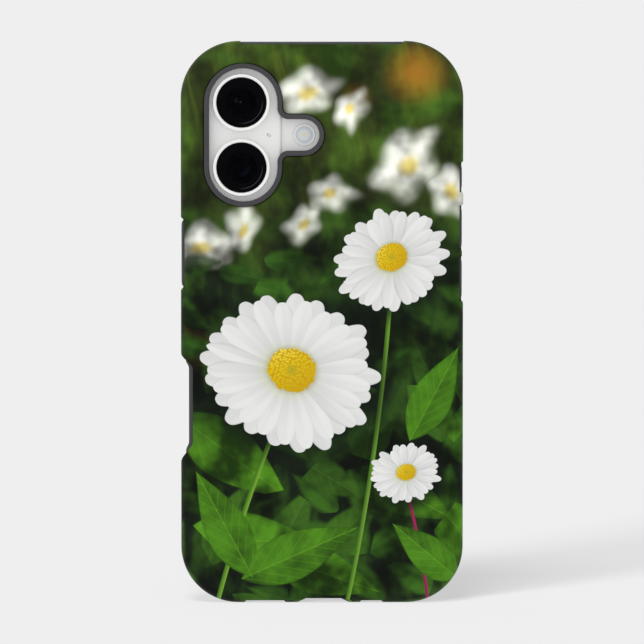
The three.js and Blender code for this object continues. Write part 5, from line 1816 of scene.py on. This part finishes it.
def build_phone():
    """The phone's outside, apart from its cameras."""
    finish_piece(frame_band(), ROOT, "frame_metal", "frame_band")
    finish_piece(back_glass(), ROOT, "back_glass", "back_glass")
    finish_piece(display_glass(), ROOT, "display_glass", "display_glass")
    for name, side in KEY_SIDES.items():
        body = "camera_button" if name == "camera_key" else name.removesuffix("_key")
        finish_piece(rounded_key(name, side), body, "key_metal", name)
    finish_piece(charging_port(), ROOT, "port_metal", "charging_port")
    for name in ("bottom_screw_left", "bottom_screw_right"):
        finish_piece(bottom_screw(name), ROOT, "steel", name)


def build_cameras():
    """Everything in the camera opening."""
    for which, z in (("upper", LENS_HIGH_Z), ("lower", LENS_LOW_Z)):
        for part, maker, slot in (
            ("lens_ring", lens_ring, "lens_ring"),
            ("lens_glass", lens_glass, "lens_glass"),
            ("camera_module", camera_module, "lens_black"),
        ):
            node = f"{which}_{part}"
            finish_piece(maker(node, z), ROOT, slot, node)
    finish_piece(flash_cover(), ROOT, "flash_diffuser", "flash_cover")
    cover = (microphone_material(),)
    finish_piece(rear_microphone(), ROOT, "black_plastic", "rear_microphone", cover)


def dress_remaining_nodes():
    """The nodes that keep their own shape get their finished materials."""
    for subpart in frame["record"]["subparts"]:
        node = frame["nodes"][subpart["node"]]
        if node.hide_render:
            continue
        for i in range(len(node.data.materials)):
            node.data.materials[i] = FINISHES[subpart["material_slot"]]


build_case()
build_phone()
build_cameras()
dress_remaining_nodes()

# ---- Stage -----------------------------------------------------------------------------------

FRAME_WIDTH = 177.65 * MM
CAMERA_DISTANCE = 1.55
CAMERA_PITCH = math.radians(3.4)
AIM = Vector((0, 0, 77.4 * MM))
SENSOR = 36.0
FLOOR_HALF_SIZE = 150.0
FLOOR_TONE = 0.05
FLOOR_GLOW = 0.565
# Each key light: how far it heads to the right of straight away from the camera, how steeply it falls
# and how wide it is, all in degrees, and the share of the floor's brightness that it gives
KEYS = (
    (34.4, 8.1, 15.3, 0.108),
    (16.3, 56.0, 21.5, 0.148),
)
BACKGROUND = 0.863
# The soft light's level, and how it changes towards the right and away from the camera
SOFT_LEVEL = 0.86
SOFT_TO_RIGHT = -0.30
SOFT_AWAY = -0.10


def make_camera():
    """A long lens aimed at the case's middle from slightly above."""
    data = bpy.data.cameras.new("camera")
    data.sensor_width = SENSOR
    data.lens = SENSOR * CAMERA_DISTANCE / FRAME_WIDTH
    data.clip_start = 0.05
    data.clip_end = 500
    camera = add_object("camera", data)
    back = Vector((0, -math.cos(CAMERA_PITCH), math.sin(CAMERA_PITCH)))
    camera.location = AIM + back * CAMERA_DISTANCE
    camera.rotation_euler = (math.pi / 2 - CAMERA_PITCH, 0, 0)
    bpy.context.scene.camera = camera


def make_floor():
    """A pale floor that runs into the background."""
    half = FLOOR_HALF_SIZE
    data = bpy.data.meshes.new("floor")
    corners = [(-half, -half, 0), (half, -half, 0), (half, half, 0), (-half, half, 0)]
    data.from_pydata(corners, [], [(0, 1, 2, 3)])
    floor = add_object("floor", data)
    made, position = new_material("pale floor", Specular_IOR_Level=0.0, Emission_Strength=1.0)
    glow = [FLOOR_GLOW] * 3
    glow = position.noise(300, 2).step(0.2, 0.8).mix([level * 0.996 for level in glow], glow)
    paint(made, (*[FLOOR_TONE] * 3, 1), 0.9, Emission_Color=glow)
    data.materials.append(made)
    return floor


def make_key_lights(floor):
    """Soft keys from behind the camera, at its left. They light the floor only, for the case's shadow."""
    lit = bpy.data.collections.new("lit by the keys")
    lit.objects.link(floor)
    for heading, elevation, spread, share in KEYS:
        heading, elevation = math.radians(heading), math.radians(elevation)
        data = bpy.data.lights.new("key", "SUN")
        data.energy = share * math.pi / (FLOOR_TONE * math.sin(elevation))
        data.angle = math.radians(spread)
        key = add_object("key", data)
        travel = Vector((math.sin(heading), math.cos(heading), -math.tan(elevation)))
        key.rotation_euler = travel.to_track_quat("-Z", "Y").to_euler()
        key.light_linking.receiver_collection = lit


def make_surroundings():
    """Even soft light, a little stronger from the left and the camera's side. The camera sees it plain."""
    world = bpy.data.worlds.new("studio")
    bpy.context.scene.world = world
    world.use_nodes = True
    tree = world.node_tree
    soft = tree.nodes["Background"]
    direction = Field(tree.nodes.new("ShaderNodeTexCoord").outputs["Generated"])
    x, y, _ = direction.parts()
    feed(soft.inputs["Strength"], x * SOFT_TO_RIGHT + y * SOFT_AWAY + SOFT_LEVEL)
    soft.inputs["Color"].default_value = (1, 1, 1, 1)
    plain = tree.nodes.new("ShaderNodeBackground")
    plain.inputs["Strength"].default_value = BACKGROUND
    plain.inputs["Color"].default_value = (1, 1, 1, 1)
    chosen = tree.nodes.new("ShaderNodeMixShader")
    rays = tree.nodes.new("ShaderNodeLightPath")
    tree.links.new(rays.outputs["Is Camera Ray"], chosen.inputs[0])
    tree.links.new(soft.outputs[0], chosen.inputs[1])
    tree.links.new(plain.outputs[0], chosen.inputs[2])
    tree.links.new(chosen.outputs[0], tree.nodes["World Output"].inputs["Surface"])


make_camera()
make_key_lights(make_floor())
make_surroundings()
bpy.context.scene.view_settings.view_transform = "Standard"
